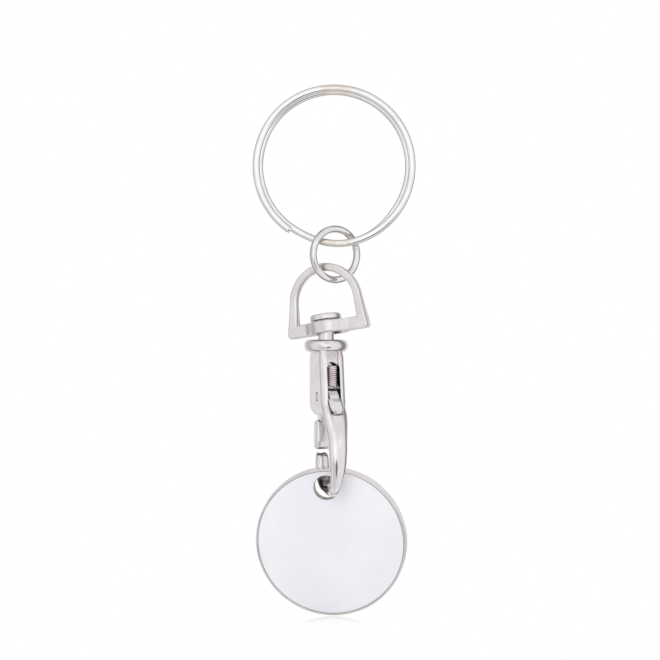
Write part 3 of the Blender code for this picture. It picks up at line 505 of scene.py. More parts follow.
def turnedMaterial(name, look, axis, hole=None):
    # turned on a lathe: fine rings round the axis that the placing turns to Z
    material, kit = newMaterial(name)
    place = kit.coords()
    turned = kit.node(
        "ShaderNodeMapping", {"vector_type": "TEXTURE"},
        {"Vector": place, "Location": axis["point"], "Rotation": axis["turn"]},
    )
    x, y, _ = kit.xyz(turned)
    radius = (x * x + y * y) ** 0.5
    rings = kit.node(
        "ShaderNodeTexNoise", {"noise_dimensions": "1D"},
        {"W": radius / (look["ringSpacing"] * mm), "Scale": 1.0, "Detail": 2.0},
    )
    cloud = kit.noise(place, 350.0, 2.0)
    tone = kit.mix(kit.between(cloud, 0.35, 0.7), look["light"], look["shade"])
    # dirt and painted shade where surfaces meet
    tone = addCreaseDirtAndShade(kit, tone, look, 0.05, 0.55, look["dirtAndShade"])
    rough = look["roughness"] + kit.between(rings, 0.5, 0.75) * 0.09
    if hole:
        # the punched wall of the hole is raw and dark, with painted shade in the hole
        up = y - hole["offset"]
        fromHole = (x * x + up * up) ** 0.5
        inside, outside = (hole["radius"] + reach * mm for reach in look["holeFade"])
        wall = kit.between(fromHole, inside, outside, 1.0, 0.0)
        blot = kit.between(kit.noise(place, 1100.0, 3.0), 0.35, 0.65, 0.6, 1.0)
        tone = kit.mix(wall * blot, tone, look["grimeAndShade"])
        rough = rough + wall * 0.2
    normal = kit.bump(rings, 0.12, look["polishDepth"])
    normal = kit.bump(kit.noise(place, 800.0, 1.0), 0.12, look["rippleDepth"], normal)
    kit.output(metalShader(kit, tone, rough, normal))
    return material


inlayLook = {
    "white": (0.90, 0.895, 0.925),
    "cool": (0.86, 0.86, 0.91),
    "edge": (0.80, 0.80, 0.82),
    "roughness": 0.34, "creaseReach": 0.5, "grainDepth": 0.01,
}


def inlayMaterial(name, look):
    # white lacquer on a thin disc: a faint grain, dust specks, painted shade towards the rim and the
    # hole, a slightly glossier skin
    material, kit = newMaterial(name)
    place = kit.coords()
    cloud = kit.noise(place, 130.0, 2.0)
    grain = kit.noise(place, 5200.0, 2.0)
    specks = kit.cells(place, 900.0)
    speck = (1 - kit.between(specks, 0.03, 0.07)) * kit.between(kit.noise(place, 300.0), 0.6, 0.7)
    tone = kit.mix(kit.between(cloud, 0.35, 0.65), look["white"], look["cool"])
    tone = kit.mix(speck * 0.25, tone, look["edge"])
    # painted shade where the rim and the hole's wall are close
    tone = addCreaseDirtAndShade(kit, tone, look, 0.3, 0.8, 0.35, "edge")
    rough = look["roughness"] + kit.between(grain, 0.4, 0.7) * 0.08
    normal = kit.bump(grain, 0.08, look["grainDepth"])
    normal = kit.bump(1 - speck, 0.2, look["grainDepth"], normal)
    kit.output(kit.node("ShaderNodeBsdfPrincipled", None, {
        "Base Color": tone, "Roughness": rough, "Normal": normal,
        "Coat Weight": 0.25, "Coat Roughness": 0.12,
    }))
    return material


# split ring

def endTaper(i, size):
    # drawn wire is a little rounded where it was cut
    fromEnd = min(i, size["steps"] - i) / size["endTaperSteps"]
    return 1 - size["endTaper"] * max(0.0, 1 - fromEnd)


splitRing = {
    "outer": 12.49, "band": 1.59, "wireWidth": 1.09, "turnThickness": 0.67, "turnGap": 0.08,
    "domePower": 0.92, "endAngle": 236, "crossing": 44, "endClearance": 2, "backEndEase": 50,
    "steps": 900, "sides": 32, "endTaper": 0.22, "endTaperSteps": 3, "sharpAngle": 60,
    # warm patches where the links rub at the top and bottom, partly a painted warm reflection
    "warmPatches": ((0.2, 0, -22.5), (0.3, 0, 0.6)), "patchReach": 2.9, "patchCore": 1.7, "patchShare": 0.8,
}


def makeSplitRing(size):
    inner = size["outer"] - size["band"]
    centre = Vector((0, 0, -inner))
    middle = (size["outer"] + inner) / 2
    outShift = (size["band"] - size["wireWidth"]) / 2
    sideShift = (size["turnThickness"] + size["turnGap"]) / 2
    crossing, clearance = math.radians(size["crossing"]), math.radians(size["endClearance"])
    ease = math.radians(size["backEndEase"])
    middleAngle = math.radians(size["endAngle"]) + clearance + crossing / 2
    length = 4 * math.pi - crossing - 2 * clearance
    path, sides, sections = [], [], []
    for i in range(size["steps"] + 1):
        travel = length * (i / size["steps"] - 0.5)
        angle = middleAngle - travel
        eased = math.sin(max(-1.0, min(1.0, 2 * travel / crossing)) * math.pi / 2)
        tucked = 1 + math.cos(math.pi * min(1.0, (length / 2 - travel) / ease))
        radial = Vector((math.cos(angle), 0, math.sin(angle)))
        aside = Vector((0, sideShift * eased, 0))
        path.append((centre + radial * (middle - outShift * (eased - tucked)) + aside) * mm)
        sides.append(radial)
        small = endTaper(i, size)
        sections.append(powerSection(
            size["turnThickness"] / 2 * small * mm, size["wireWidth"] / 2 * small * mm,
            size["domePower"], size["sides"],
        ))
    piece = newPiece(loftRows(sweepRows(path, sides, sections)), "splitRing")
    shadeSmooth(piece, size["sharpAngle"])
    perimeter = sectionLength(sections[0])
    # warm patches where the links rub, partly a painted warm reflection
    look = {**wireLook, "stains": tuple(
        (mmVector(*spot), size["patchReach"], size["patchCore"], size["patchShare"], rubbedAndReflectedWarm)
        for spot in size["warmPatches"]
    )}
    material = wireMaterial("nickel on split ring wire", look, perimeter)
    dress(piece, material, "split_ring_body", "split_ring")


makeSplitRing(splitRing)
print("split ring")

# jump ring

jumpRing = {
    "centre": (0.15, 0.12, -24.44), "radius": 3.9, "wire": 0.55, "yaw": 31,
    "seamAngle": 22, "seam": 0.12, "endTaper": 0.12, "endTaperSteps": 2,
    "steps": 260, "sides": 40, "sharpAngle": 60,
    "edgeTurn": 0.25,  # moves the painted dark reflection bands round the wire by this share of the way round
}


def makeJumpRing(size):
    place = Matrix.Translation(mmVector(*size["centre"])) @ turnAbout("Z", size["yaw"])
    seam = size["seam"] / size["radius"]
    start = math.radians(size["seamAngle"]) + seam / 2
    path, sections = [], []
    for i in range(size["steps"] + 1):
        angle = start + (2 * math.pi - seam) * i / size["steps"]
        path.append(place @ (mmVector(math.cos(angle), 0, math.sin(angle)) * size["radius"]))
        sections.append(circleSection(size["wire"] * endTaper(i, size) * mm, size["sides"]))
    side = place.to_3x3() @ Vector((0, 1, 0))
    piece = newPiece(loftRows(sweepRows(path, side, sections)), "jumpRing")
    shadeSmooth(piece, size["sharpAngle"])
    perimeter = sectionLength(sections[0])
    material = wireMaterial("nickel on jump ring wire", wireLook, perimeter, size["edgeTurn"])
    dress(piece, material, "jump_ring_body", "jump_ring")


makeJumpRing(jumpRing)
print("jump ring")

# swivel loop

castLook = {
    **plating, "roughness": 0.13, "dirtAndShade": 0.8,
    "creaseReach": 0.8, "rippleDepth": 0.03, "pitDepth": 0.02,
}

swivelLoop = {
    "centre": (-0.78, -0.95, -35.62), "roll": -6.5, "pitch": -6.0, "yaw": -24,
    "bossRadius": 3.1, "bossHeight": 1.9, "bossBore": 1.98, "bossEdge": 0.18,
    "barHalf": 6.6, "barHeight": 1.96, "barDepth": 1.7, "barEdge": 0.3,
    "flareFootX": 3.85, "flareTopX": 1.72, "flareTopY": 2.48, "flareInset": 0.04,
    "footX": 5.85, "footDrop": 0.7, "lean": 6.5, "springHeight": 4.3, "apex": 9.3,
    "halfWidth": 0.62, "halfDepth": 0.66, "cornerShare": 0.62, "pull": 0.5, "footGrowth": 0.3,
    "archSteps": 90, "legSteps": 16, "perCorner": 6, "edgeSegments": 3,
    "bossSides": 96, "boreSides": 80, "voxel": 0.055, "softenRounds": 7,
    # where, reach, core and how strong: warm where the jump ring rubs at the top, and a painted warm
    # reflection on the boss
    "warmPatches": (((-0.4, 0, 9.0), 1.9, 0.9, 0.8), ((-0.8, -3.0, 0.3), 2.6, 0.6, 0.45)),
}
loopFrame = (
    Matrix.Translation(mmVector(*swivelLoop["centre"]))
    @ turnAbout("Y", swivelLoop["roll"]) @ turnAbout("X", swivelLoop["pitch"])
    @ turnAbout("Z", swivelLoop["yaw"])
)


def makeSwivelLoop(size):
    lean = math.tan(math.radians(size["lean"]))
    springX = size["footX"] - lean * size["springHeight"]
    rise = size["apex"] - size["springHeight"]
    right = []
    for i in range(size["legSteps"]):
        height = (size["springHeight"] + size["footDrop"]) * i / size["legSteps"] - size["footDrop"]
        right.append(Vector((size["footX"] - lean * height, 0, height)))
    arch = []
    for i in range(size["archSteps"] + 1):
        angle = math.pi * i / size["archSteps"]
        c, s = math.cos(angle), math.sin(angle)
        pull = size["pull"] * lean * rise * s * c
        arch.append(Vector((springX * c - pull, 0, size["springHeight"] + rise * s)))
    path = right + arch + [Vector((-p.x, 0, p.z)) for p in reversed(right)]
    sections = []
    for point in path:
        grow = 1 + size["footGrowth"] * max(0.0, 1 - point.z / size["springHeight"])
        sections.append([
            (a * mm, b * mm) for a, b in roundedSection(
                size["halfWidth"] * grow, size["halfDepth"] * grow,
                size["halfWidth"] * size["cornerShare"], size["perCorner"],
            )
        ])
    rows = sweepRows([p * mm for p in path], Vector((0, 1, 0)), sections)
    piece = newPiece(loftRows(rows), "swivelLoop")
    half = Vector((size["barHalf"], size["barDepth"] / 2, size["barHeight"] / 2)) * mm
    bar = newPiece(boxMesh(-half, half), "bar")
    edgePiece(bar, size["barEdge"], size["edgeSegments"])
    r, h, e = size["bossRadius"], size["bossHeight"] / 2, size["bossEdge"]
    bossProfile = [(0, -h), (r - e, -h), (r, -h + e), (r, h - e), (r - e, h), (0, h)]
    footY = size["barDepth"] / 2 - size["barEdge"]
    footX, topX, topY = size["flareFootX"], size["flareTopX"], size["flareTopY"]
    plan = [
        (footX, -footY), (footX, footY), (topX, topY), (-topX, topY),
        (-footX, footY), (-footX, -footY), (-topX, -topY), (topX, -topY),
    ]
    flareHalf = h - size["flareInset"]
    combine(piece, bar, "UNION")
    join(piece, loftRows([[mmVector(x, y, z) for x, y in plan] for z in (-flareHalf, flareHalf)]))
    join(piece, turnProfile(bossProfile, size["bossSides"]))
    cut(piece, rodMesh(size["bossBore"], -2 * h, 2 * h, size["boreSides"]))
    castSurface(piece, size, loopFrame)
    # a warm rub at the top and a painted warm reflection on the boss
    look = {**castLook, "stains": tuple(
        (loopFrame @ mmVector(*spot), reach, core, share, rubbedAndReflectedWarm)
        for spot, reach, core, share in size["warmPatches"]
    )}
    material = castMaterial("nickel on cast loop", look)
    dress(piece, material, "loop_body", "swivel_loop")


makeSwivelLoop(swivelLoop)
print("swivel loop")

# swivel rivet

hookPlace = {"axis": (-1.22, -0.95), "yaw": 20, "uAtAxis": 0.95, "pivot": (2.2, -46.2)}
hookFrame = Matrix.Translation(mmVector(*hookPlace["axis"], 0)) @ turnAbout("Z", hookPlace["yaw"])


def hookPoint(u, across, height):
    return mmVector(across, hookPlace["uAtAxis"] - u, height)


def pivotPlace():
    # lays what is turned about Z across the hook at the lever's pivot
    u, height = hookPlace["pivot"]
    return Matrix.Translation(hookPoint(u, 0, height)) @ turnAbout("Y", 90)


swivelRivet = {
    "headRadius": 2.4, "headHeight": 1.1, "headEdge": 0.35, "dome": 0.24, "domeSteps": 8,
    "domeShare": 0.5, "underEdge": 0.18, "edgeSteps": 8, "clearance": 0.17,
    "postRadius": 1.25, "postBottom": -39.9, "postEdge": 0.1, "sides": 96, "sharpAngle": 40,
}


def makeRivet(size):
    # the head lies flat on the loose boss and leans with it, the post hangs plumb
    top, wide = size["headHeight"], size["headRadius"]
    shares = [size["domeShare"] * (1 - k / size["domeSteps"]) for k in range(size["domeSteps"])]
    domed = [(wide * share, top - size["dome"] * share ** 2) for share in shares]
    corners = [
        (0, 0, 0), (wide, 0, size["underEdge"]),
        (wide, top - size["dome"], size["headEdge"]), (*domed[0], 0),
    ]
    profile = roundedProfile(corners, size["edgeSteps"]) + domed[1:] + [(0, top)]
    lean = loopFrame.to_3x3() @ Vector((0, 0, 1))
    seat = loopFrame.translation + lean * (swivelLoop["bossHeight"] / 2 + size["clearance"]) * mm
    foot = mmVector(*hookPlace["axis"], swivelLoop["centre"][2])
    foot.z += (seat - foot).dot(lean) / lean.z
    headFrame = Matrix.Translation(foot) @ lean.to_track_quat("Z", "Y").to_matrix().to_4x4()
    piece = newPiece(turnProfile(profile, size["sides"]), "swivelRivet", headFrame)
    r, e = size["postRadius"], size["postEdge"]
    low, high = size["postBottom"], foot.z / mm + top / 2
    post = [(0, low), (r - e, low), (r, low + e), (r, high), (0, high)]
    join(piece, turnProfile(post, size["sides"]), hookFrame)
    shadeSmooth(piece, size["sharpAngle"])
    axis = {"point": tuple(headFrame.translation), "turn": tuple(headFrame.to_euler())}
    look = {**plating, "roughness": 0.13, "dirtAndShade": 0.8, "ringSpacing": 0.05}
    material = turnedMaterial("nickel on rivet", look, axis)
    dress(piece, material, "hook", "swivel_rivet")


makeRivet(swivelRivet)
print("swivel rivet")

# hook body with its collar, slot, spine, bend and tip

hookBody = {
    "collarTop": -37.5, "collarTopRadius": 2.3, "collarRadius": 3.34, "collarLength": 2.7,
    "beadHeight": 1.95, "beadPower": 0.7, "beadTuck": 0.22, "neck": 1.84, "collarSides": 120,
    "top": -39.0, "length": 10.05, "back": -1.7, "frontTop": 3.9, "frontBottom": 5.0,
    "flare": 9.0, "halfWidth": 1.98, "corner": 0.9, "perCorner": 14,
    # share of the length, share of the corner that it is drawn in
    "sections": (
        (0.0, 0.28), (0.07, 0.07), (0.14, 0.0), (0.4, 0.0), (0.65, 0.0), (0.826, 0.0),
        (0.896, 0.11), (0.935, 0.29), (0.975, 0.62), (1.0, 0.98),
    ),
    "bore": 1.4, "boreBottom": -40.1, "boreSides": 72, "arcSteps": 24,
    "slotHalf": 1.02, "slotTop": -40.95, "slotBottom": -48.96, "slotBack": 2.0,
    "pocketHalf": 0.98, "pocketBack": -1.05, "pocketFront": 3.1, "pocketTop": -44.4,
    "scoopHalf": 0.9, "scoopTop": -39.2, "scoopDepth": 0.55, "reach": 4.0, "beyond": 2,
    "pinHole": 0.675, "pinHoleSides": 60,
    # centre line (u, height), half width across, half thickness, how far it stands to the side
    "spine": (
        (3.40, -46.20, 1.80, 1.00, 0), (4.10, -47.80, 1.90, 1.05, 0),
        (4.90, -49.30, 1.92, 1.18, 0), (5.52, -50.80, 1.75, 1.18, 0),
        (6.00, -52.50, 1.53, 1.08, 0), (6.25, -54.30, 1.44, 0.99, 0),
        (6.29, -56.00, 1.34, 0.92, 0), (6.11, -57.60, 1.20, 0.85, 0),
        (5.69, -59.20, 1.04, 0.80, 0), (4.96, -60.52, 0.92, 0.78, -0.08),
        (3.85, -60.70, 0.79, 0.68, -0.22), (2.65, -60.28, 0.85, 0.66, -0.28),
        (1.60, -59.86, 0.98, 0.64, -0.30), (0.80, -58.96, 1.07, 0.64, -0.30),
        (0.34, -57.90, 1.08, 0.70, -0.28), (0.14, -56.80, 1.06, 0.80, -0.32),
        (0.06, -55.65, 1.02, 0.88, -0.34),
    ),
    "spinePower": 0.85, "spineSides": 56, "spineSteps": 12,
    "tipRise": 0.7, "tipEdge": 0.8, "tipSlant": 0.4,
    "dentRadius": 0.8, "dentRise": 1.12, "dentSides": 48,
    # where, reach, core and how strong; where the dent is follows from the tip. The token's patch on
    # the bend is dirt where it rubs and painted shade in the token's hole; the dent and the top of
    # the scoop, under the collar, get painted shade
    "tokenRubAndShade": ((0.9, -0.4, -60.0), 2.0, 1.6, 0.9), "dentPaintedShade": (1.28, 1.04, 0.9),
    "scoopPaintedShade": ((3.5, 0, -39.8), 1.5, 0.2, 0.6), "scoopShadeTone": (0.36, 0.32, 0.30),
    "voxel": 0.06, "softenRounds": 6,
}


def smoothStations(stations, steps):
    # a smooth curve through all the stations
    result = []
    last = len(stations) - 1
    for i in range(last):
        around = (stations[max(i - 1, 0)], stations[i], stations[i + 1], stations[min(i + 2, last)])
        for k in range(steps):
            t = k / steps
            result.append(tuple(
                0.5 * (
                    2 * b + (c - a) * t + (2 * a - 5 * b + 4 * c - d) * t * t
                    + (3 * b - a - 3 * c + d) * t ** 3
                )
                for a, b, c, d in zip(*around)
            ))
    result.append(stations[-1])
    return result


def dentCentre(size):
    endU, endZ, _, _, endAside = size["spine"][-1]
    return hookPoint(endU, endAside, endZ + size["dentRise"])


def makeSpine(size):
    stations = smoothStations(size["spine"], size["spineSteps"])
    path = [hookPoint(u, aside, z) for u, z, _, _, aside in stations]
    sections = [
        powerSection(thick * mm, width * mm, size["spinePower"], size["spineSides"])
        for _, _, width, thick, _ in stations
    ]
    rows = sweepRows(path, Vector((1, 0, 0)), sections)
    endU, endZ, _, endThick, endAside = stations[-1]
    centre = hookPoint(endU, endAside, endZ)
    top = []
    for point in rows[-1]:
        offset = point - centre
        rise = size["tipRise"] * mm * (1 + size["tipSlant"] * offset.y / (endThick * mm))
        top.append(centre + Vector((offset.x * size["tipEdge"], offset.y * size["tipEdge"], rise)))
    spine = newPiece(loftRows(rows + [top]), "spine")
    r, steps = size["dentRadius"], size["dentSides"] // 2
    turns = [math.pi * i / steps for i in range(1, steps)]
    ball = [(0, -r), *((r * math.sin(turn), -r * math.cos(turn)) for turn in turns), (0, r)]
    cut(spine, turnProfile(ball, size["dentSides"]), Matrix.Translation(dentCentre(size)))
    return spine


def makeHookBody(size):
    rows = []
    for down, insetShare in size["sections"]:
        drop, inset = size["length"] * down, size["corner"] * insetShare
        flared = min(1.0, drop / size["flare"])
        front = size["frontTop"] + (size["frontBottom"] - size["frontTop"]) * flared
        middle, half = (front + size["back"]) / 2, (front - size["back"]) / 2 - inset
        section = roundedSection(
            size["halfWidth"] - inset, half, size["corner"] - inset / 2, size["perCorner"]
        )
        rows.append([hookPoint(middle + b, a, size["top"] - drop) for a, b in section])
    piece = newPiece(loftRows(rows), "hookBody")
    bead = []
    half = size["beadHeight"] / 2
    turns = [math.pi * i / size["arcSteps"] for i in range(size["arcSteps"] + 1)]
    for turn in turns:
        angle = math.pi / 2 - turn
        bulge = max(0.0, math.cos(angle)) ** size["beadPower"]
        foot = size["collarTopRadius"] - size["beadTuck"] * max(0.0, math.sin(-angle))
        bead.append((
            foot + (size["collarRadius"] - foot) * bulge,
            size["collarTop"] - half + half * math.sin(angle),
        ))
    low = size["collarTop"] - size["collarLength"]
    profile = [(0, size["collarTop"]), *bead, (size["neck"], low), (0, low)]
    join(piece, turnProfile(profile, size["collarSides"]))
    slotMiddle = size["slotTop"] - size["slotHalf"]
    scoopFront, scoopBack = size["frontTop"] + size["reach"], size["frontTop"] - size["scoopDepth"]
    cut(piece, boxMesh(
        hookPoint(scoopFront, -size["scoopHalf"], slotMiddle),
        hookPoint(scoopBack, size["scoopHalf"], size["scoopTop"]),
    ))
    combine(piece, makeSpine(size), "UNION")
    half = size["slotHalf"]
    outline = [(half * math.cos(turn), slotMiddle + half * math.sin(turn)) for turn in turns]
    outline += [(-half, size["slotBottom"]), (half, size["slotBottom"])]
    depths = (size["frontBottom"] + size["reach"], size["slotBack"])
    cut(piece, loftRows([[hookPoint(u, x, z) for x, z in outline] for u in depths]))
    pocketBottom = size["top"] - size["length"] - size["beyond"]
    cut(piece, boxMesh(
        hookPoint(size["pocketFront"], -size["pocketHalf"], pocketBottom),
        hookPoint(size["pocketBack"], size["pocketHalf"], size["pocketTop"]),
    ))
    boreTop = size["collarTop"] + size["beyond"]
    cut(piece, rodMesh(size["bore"], size["boreBottom"], boreTop, size["boreSides"]))
    half = size["halfWidth"] + size["beyond"]
    cut(piece, rodMesh(size["pinHole"], -half, half, size["pinHoleSides"]), pivotPlace())
    castSurface(piece, size, hookFrame)
    # dark patches: rub dirt and painted shade on the bend in the token's hole, painted shade in the
    # dent and under the collar
    rubAndShade, scooped = size["tokenRubAndShade"], size["scoopPaintedShade"]
    look = {**castLook, "stains": (
        (hookFrame @ hookPoint(*rubAndShade[0]), *rubAndShade[1:], castLook["grimeAndShade"]),
        (hookFrame @ dentCentre(size), *size["dentPaintedShade"], castLook["grimeAndShade"]),
        (hookFrame @ hookPoint(*scooped[0]), *scooped[1:], size["scoopShadeTone"]),
    )}
    dress(piece, castMaterial("nickel on cast hook", look), "hook", "hook_body")


makeHookBody(hookBody)
print("hook body")

# pivot pin, its ends peened flush with the body

pivotPin = {
    "radius": 0.575, "halfLength": 1.94, "edge": 0.1, "edgeSteps": 5, "dish": 0.04,
    "dishShare": 0.3, "sides": 48, "sharpAngle": 50,
}


def makePivotPin(size):
    r, h, e = size["radius"], size["halfLength"], size["edge"]
    dishR, dishH = r * size["dishShare"], h - size["dish"]
    corners = [(0, -h, 0), (dishR, -dishH, 0), (r, -h, e), (r, h, e), (dishR, dishH, 0), (0, h, 0)]
    profile = roundedProfile(corners, size["edgeSteps"])
    place = hookFrame @ pivotPlace()
    piece = newPiece(turnProfile(profile, size["sides"]), "pivotPin", place)
    shadeSmooth(piece, size["sharpAngle"])
    axis = {"point": tuple(place.translation), "turn": tuple(place.to_euler())}
    look = {
        **plating, "light": (0.66, 0.65, 0.65), "roughness": 0.24, "dirtAndShade": 0.85,
        "ringSpacing": 0.04,
    }
    material = turnedMaterial("steel of pivot pin", look, axis)
    dress(piece, material, "hook", "pivot_pin")


makePivotPin(pivotPin)
print("pivot pin")

# gate lever: tab, hub and gate arm in one casting; points are (u, up) from the pivot, and the
# arm's measures are (u, height)

gateLever = {
    "hub": 1.18, "halfWidth": 0.8, "bore": 0.715, "boreSides": 60, "edge": 0.12, "edgeSegments": 2,
    "back": ((-3.05, -4.2), (-3.05, -2.2), (-2.3, -0.8)),
    "hubDegrees": (165, 150, 135, 120, 105, 90, 80, 70),
    "tab": (
        (1.0, 1.05), (1.7, 0.9), (2.3, 0.3), (2.8, -0.4), (3.4, -1.0), (3.9, -1.8), (3.7, -2.2),
        (3.1, -2.45), (2.2, -2.3), (1.1, -1.75), (0.2, -1.8), (-0.6, -2.3), (-1.35, -3.05),
        (-1.5, -4.2),
    ),
    "padInner": ((2.75, -0.4), (3.1, -1.0), (3.55, -1.8), (4.0, -2.5)),
    "padOuter": ((4.25, -2.55), (4.35, -2.1), (4.1, -1.4), (3.7, -0.75), (3.25, -0.3)),
    "padHalf": 1.12, "padSlices": 20, "padShorter": 0.42, "padThinner": 0.45,
    "padEndPower": 4, "padSidePower": 6,
    "armHalf": 1.44, "armTop": -49.8, "armEnd": -54.3, "armBack": -1.05, "armFront": 0.85,
    "armHeel": 1.2, "armBackTaper": 0.1, "armFrontTaper": 0.05, "armNose": 0.35,
    "armEdge": 0.5, "armEdgeSegments": 4, "voxel": 0.045, "softenRounds": 6,
}


def makeThumbPad(size):
    # slices across the lever, shorter and thinner towards both sides
    pivotU, pivotZ = hookPlace["pivot"]
    inner, outer = size["padInner"], size["padOuter"]
    baseU, baseZ = inner[0]
    rows = []
    for i in range(size["padSlices"] + 1):
        side = math.cos(math.pi * i / size["padSlices"])
        shorter = 1 - size["padShorter"] * side ** size["padEndPower"]
        thinner = 1 - size["padThinner"] * side ** size["padSidePower"]
        points = list(inner)
        for k, (u, z) in enumerate(outer):
            nearU, nearZ = inner[max(0, len(inner) - 1 - k)]  # the inner point behind it
            points.append((nearU + (u - nearU) * thinner, nearZ + (z - nearZ) * thinner))
        rows.append([
            hookPoint(
                pivotU + baseU + (u - baseU) * shorter, size["padHalf"] * side,
                pivotZ + baseZ + (z - baseZ) * shorter,
            )
            for u, z in points
        ])
    return newPiece(loftRows(rows), "thumbPad")


def leverPlate(outline, half, name):
    rows = [[hookPoint(u, side * half, z) for u, z in outline] for side in (-1, 1)]
    return newPiece(loftRows(rows), name)


def makeGateLever(size):
    pivotU, pivotZ = hookPlace["pivot"]
    turns = [math.radians(degrees) for degrees in size["hubDegrees"]]
    hub = [(size["hub"] * math.cos(turn), size["hub"] * math.sin(turn)) for turn in turns]
    outline = [(pivotU + a, pivotZ + b) for a, b in [*size["back"], *hub, *size["tab"]]]
    piece = leverPlate(outline, size["halfWidth"], "gateLever")
    edgePiece(piece, size["edge"], size["edgeSegments"])
    back, front, top, end = size["armBack"], size["armFront"], size["armTop"], size["armEnd"]
    heel, taper = end + size["armHeel"], size["armBackTaper"]
    arm = leverPlate([
        (back + taper, top), (back, heel), (back + taper, end),
        (front - size["armNose"], end), (front, heel), (front - size["armFrontTaper"], top),
    ], size["armHalf"], "arm")
    edgePiece(arm, size["armEdge"], size["armEdgeSegments"])
    combine(piece, arm, "UNION")
    combine(piece, makeThumbPad(size), "UNION")
    h = 2 * size["halfWidth"]
    cut(piece, rodMesh(size["bore"], -h, h, size["boreSides"]), pivotPlace())
    castSurface(piece, size, hookFrame)
    look = {**castLook, "roughness": 0.16, "dirtAndShade": 0.5}
    material = castMaterial("nickel on cast lever", look)
    dress(piece, material, "gate", "gate_lever")


makeGateLever(gateLever)
print("gate lever")

# gate spring: closely wound, and the opening gate squeezes it towards its upper end

gateSpring = {
    "u": 3.3, "aside": 0.08, "coil": 0.7, "wire": 0.14, "top": -41.35, "bottom": -44.8,
    "pitch": 0.295, "closed": 0.1, "stepsPerTurn": 64, "sides": 16, "keep": 0.9,
    "sharpAngle": 60,
}
springLook = {
    **plating, "light": (0.88, 0.80, 0.80), "shade": (0.80, 0.72, 0.73),
    "warm": (0.80, 0.70, 0.68), "roughness": 0.3,
}


def makeGateSpring(size):
    top, bottom = size["top"] - size["wire"], size["bottom"] + size["wire"]
    turns = (top - bottom) / size["pitch"]
    steps = int(turns * size["stepsPerTurn"])
    path = []
    for i in range(steps + 1):
        share = i / steps
        angle = 2 * math.pi * turns * share
        # the end turns lie closer than the middle ones
        eased = share - size["closed"] * math.sin(2 * math.pi * share) / (2 * math.pi)
        path.append(hookPoint(
            size["u"] + size["coil"] * math.cos(angle),
            size["aside"] + size["coil"] * math.sin(angle),
            bottom + (top - bottom) * eased,
        ))
    section = circleSection(size["wire"] * mm, size["sides"])
    rows = sweepRows(path, Vector((0, 0, 1)), section)
    piece = newPiece(loftRows(rows), "gateSpring", hookFrame)
    shadeSmooth(piece, size["sharpAngle"])
    dress(piece, wireMaterial("spring wire", springLook), "hook", "gate_spring")
    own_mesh(piece)


makeGateSpring(gateSpring)
print("gate spring")

# token

token = {
    "radius": 11.585, "thickness": 1.92, "rim": 0.3, "rimEdge": 0.16, "rimInnerEdge": 0.08,
    "floorEdge": 0.03, "edgeSteps": 6, "recess": 0.32, "inlay": 0.22, "inlayEdge": 0.05,
    "inlayEdgeSteps": 5, "floorGap": 0.04, "radialGap": 0.06, "holeGap": 0.05,
    "direction": (-0.14, -0.965, -0.22), "roll": 4.87,
    "hole": 1.88, "holeLand": 1.05, "holeX": -1.12, "holeZ": -59.93,
    "wireU": 2.48, "wireZ": -60.18, "sides": 240, "holeSides": 96, "holeEdge": 0.1,
    "sharpAngle": 32,
}


def tokenFrame(size):
    # the face looks along direction, and the hook's wire passes through the hole
    wire = hookFrame @ hookPoint(size["wireU"], 0, size["wireZ"])
    away = -Vector(size["direction"]).normalized()
    roll = math.radians(size["roll"])
    rise = Vector((-math.sin(roll), 0, math.cos(roll)))
    rise.y = -rise.dot(away) / away.y
    up = rise.normalized()
    right = away.cross(up).normalized()
    hole = Vector((size["holeX"] * mm, wire.y, size["holeZ"] * mm))
    hole.y -= (hole - wire).dot(away) / away.y
    offset = (size["radius"] - size["hole"] - size["holeLand"]) * mm
    place = Matrix((right, away, up)).transposed().to_4x4()
    place.translation = hole - up * offset
    return place @ turnAbout("X", 90), offset


discTurn, holeOffset = tokenFrame(token)


def discWithHole(size, profile, holeProfile, name):
    # turned in one piece, then pierced off centre
    disc = newPiece(turnProfile(profile, size["sides"]), name)
    place = Matrix.Translation((0, holeOffset, 0))
    cut(disc, turnProfile(holeProfile, size["holeSides"]), place)
    disc.data.transform(discTurn)
    shadeSmooth(disc, size["sharpAngle"])
    return disc


def makeTokenBlank(size):
    half, r = size["thickness"] / 2, size["radius"]
    inner, floor = r - size["rim"], half - size["recess"]
    top = [
        (0, floor, 0), (inner, floor, size["floorEdge"]), (inner, half, size["rimInnerEdge"]),
        (r, half, size["rimEdge"]), (r, 0, 0),
    ]
    upper = roundedProfile(top, size["edgeSteps"])
    profile = upper + [(a, -b) for a, b in reversed(upper[:-1])]
    h, e, reach, hr = floor, size["holeEdge"], size["thickness"], size["hole"]
    holeProfile = [
        (0, -reach), (hr + e, -reach), (hr + e, -h), (hr, -h + e),
        (hr, h - e), (hr + e, h), (hr + e, reach), (0, reach),
    ]
    piece = discWithHole(size, profile, holeProfile, "tokenBlank")
    axis = {"point": tuple(discTurn.translation), "turn": tuple(discTurn.to_euler())}
    hole = {"offset": holeOffset, "radius": hr * mm}
    look = {
        **plating, "roughness": 0.12, "dirtAndShade": 0.55, "ringSpacing": 0.06,
        "holeFade": (0.03, 0.1),  # the dark wall fades out this far from it, in mm
    }
    material = turnedMaterial("nickel on token", look, axis, hole)
    dress(piece, material, "token", "coin_blank")


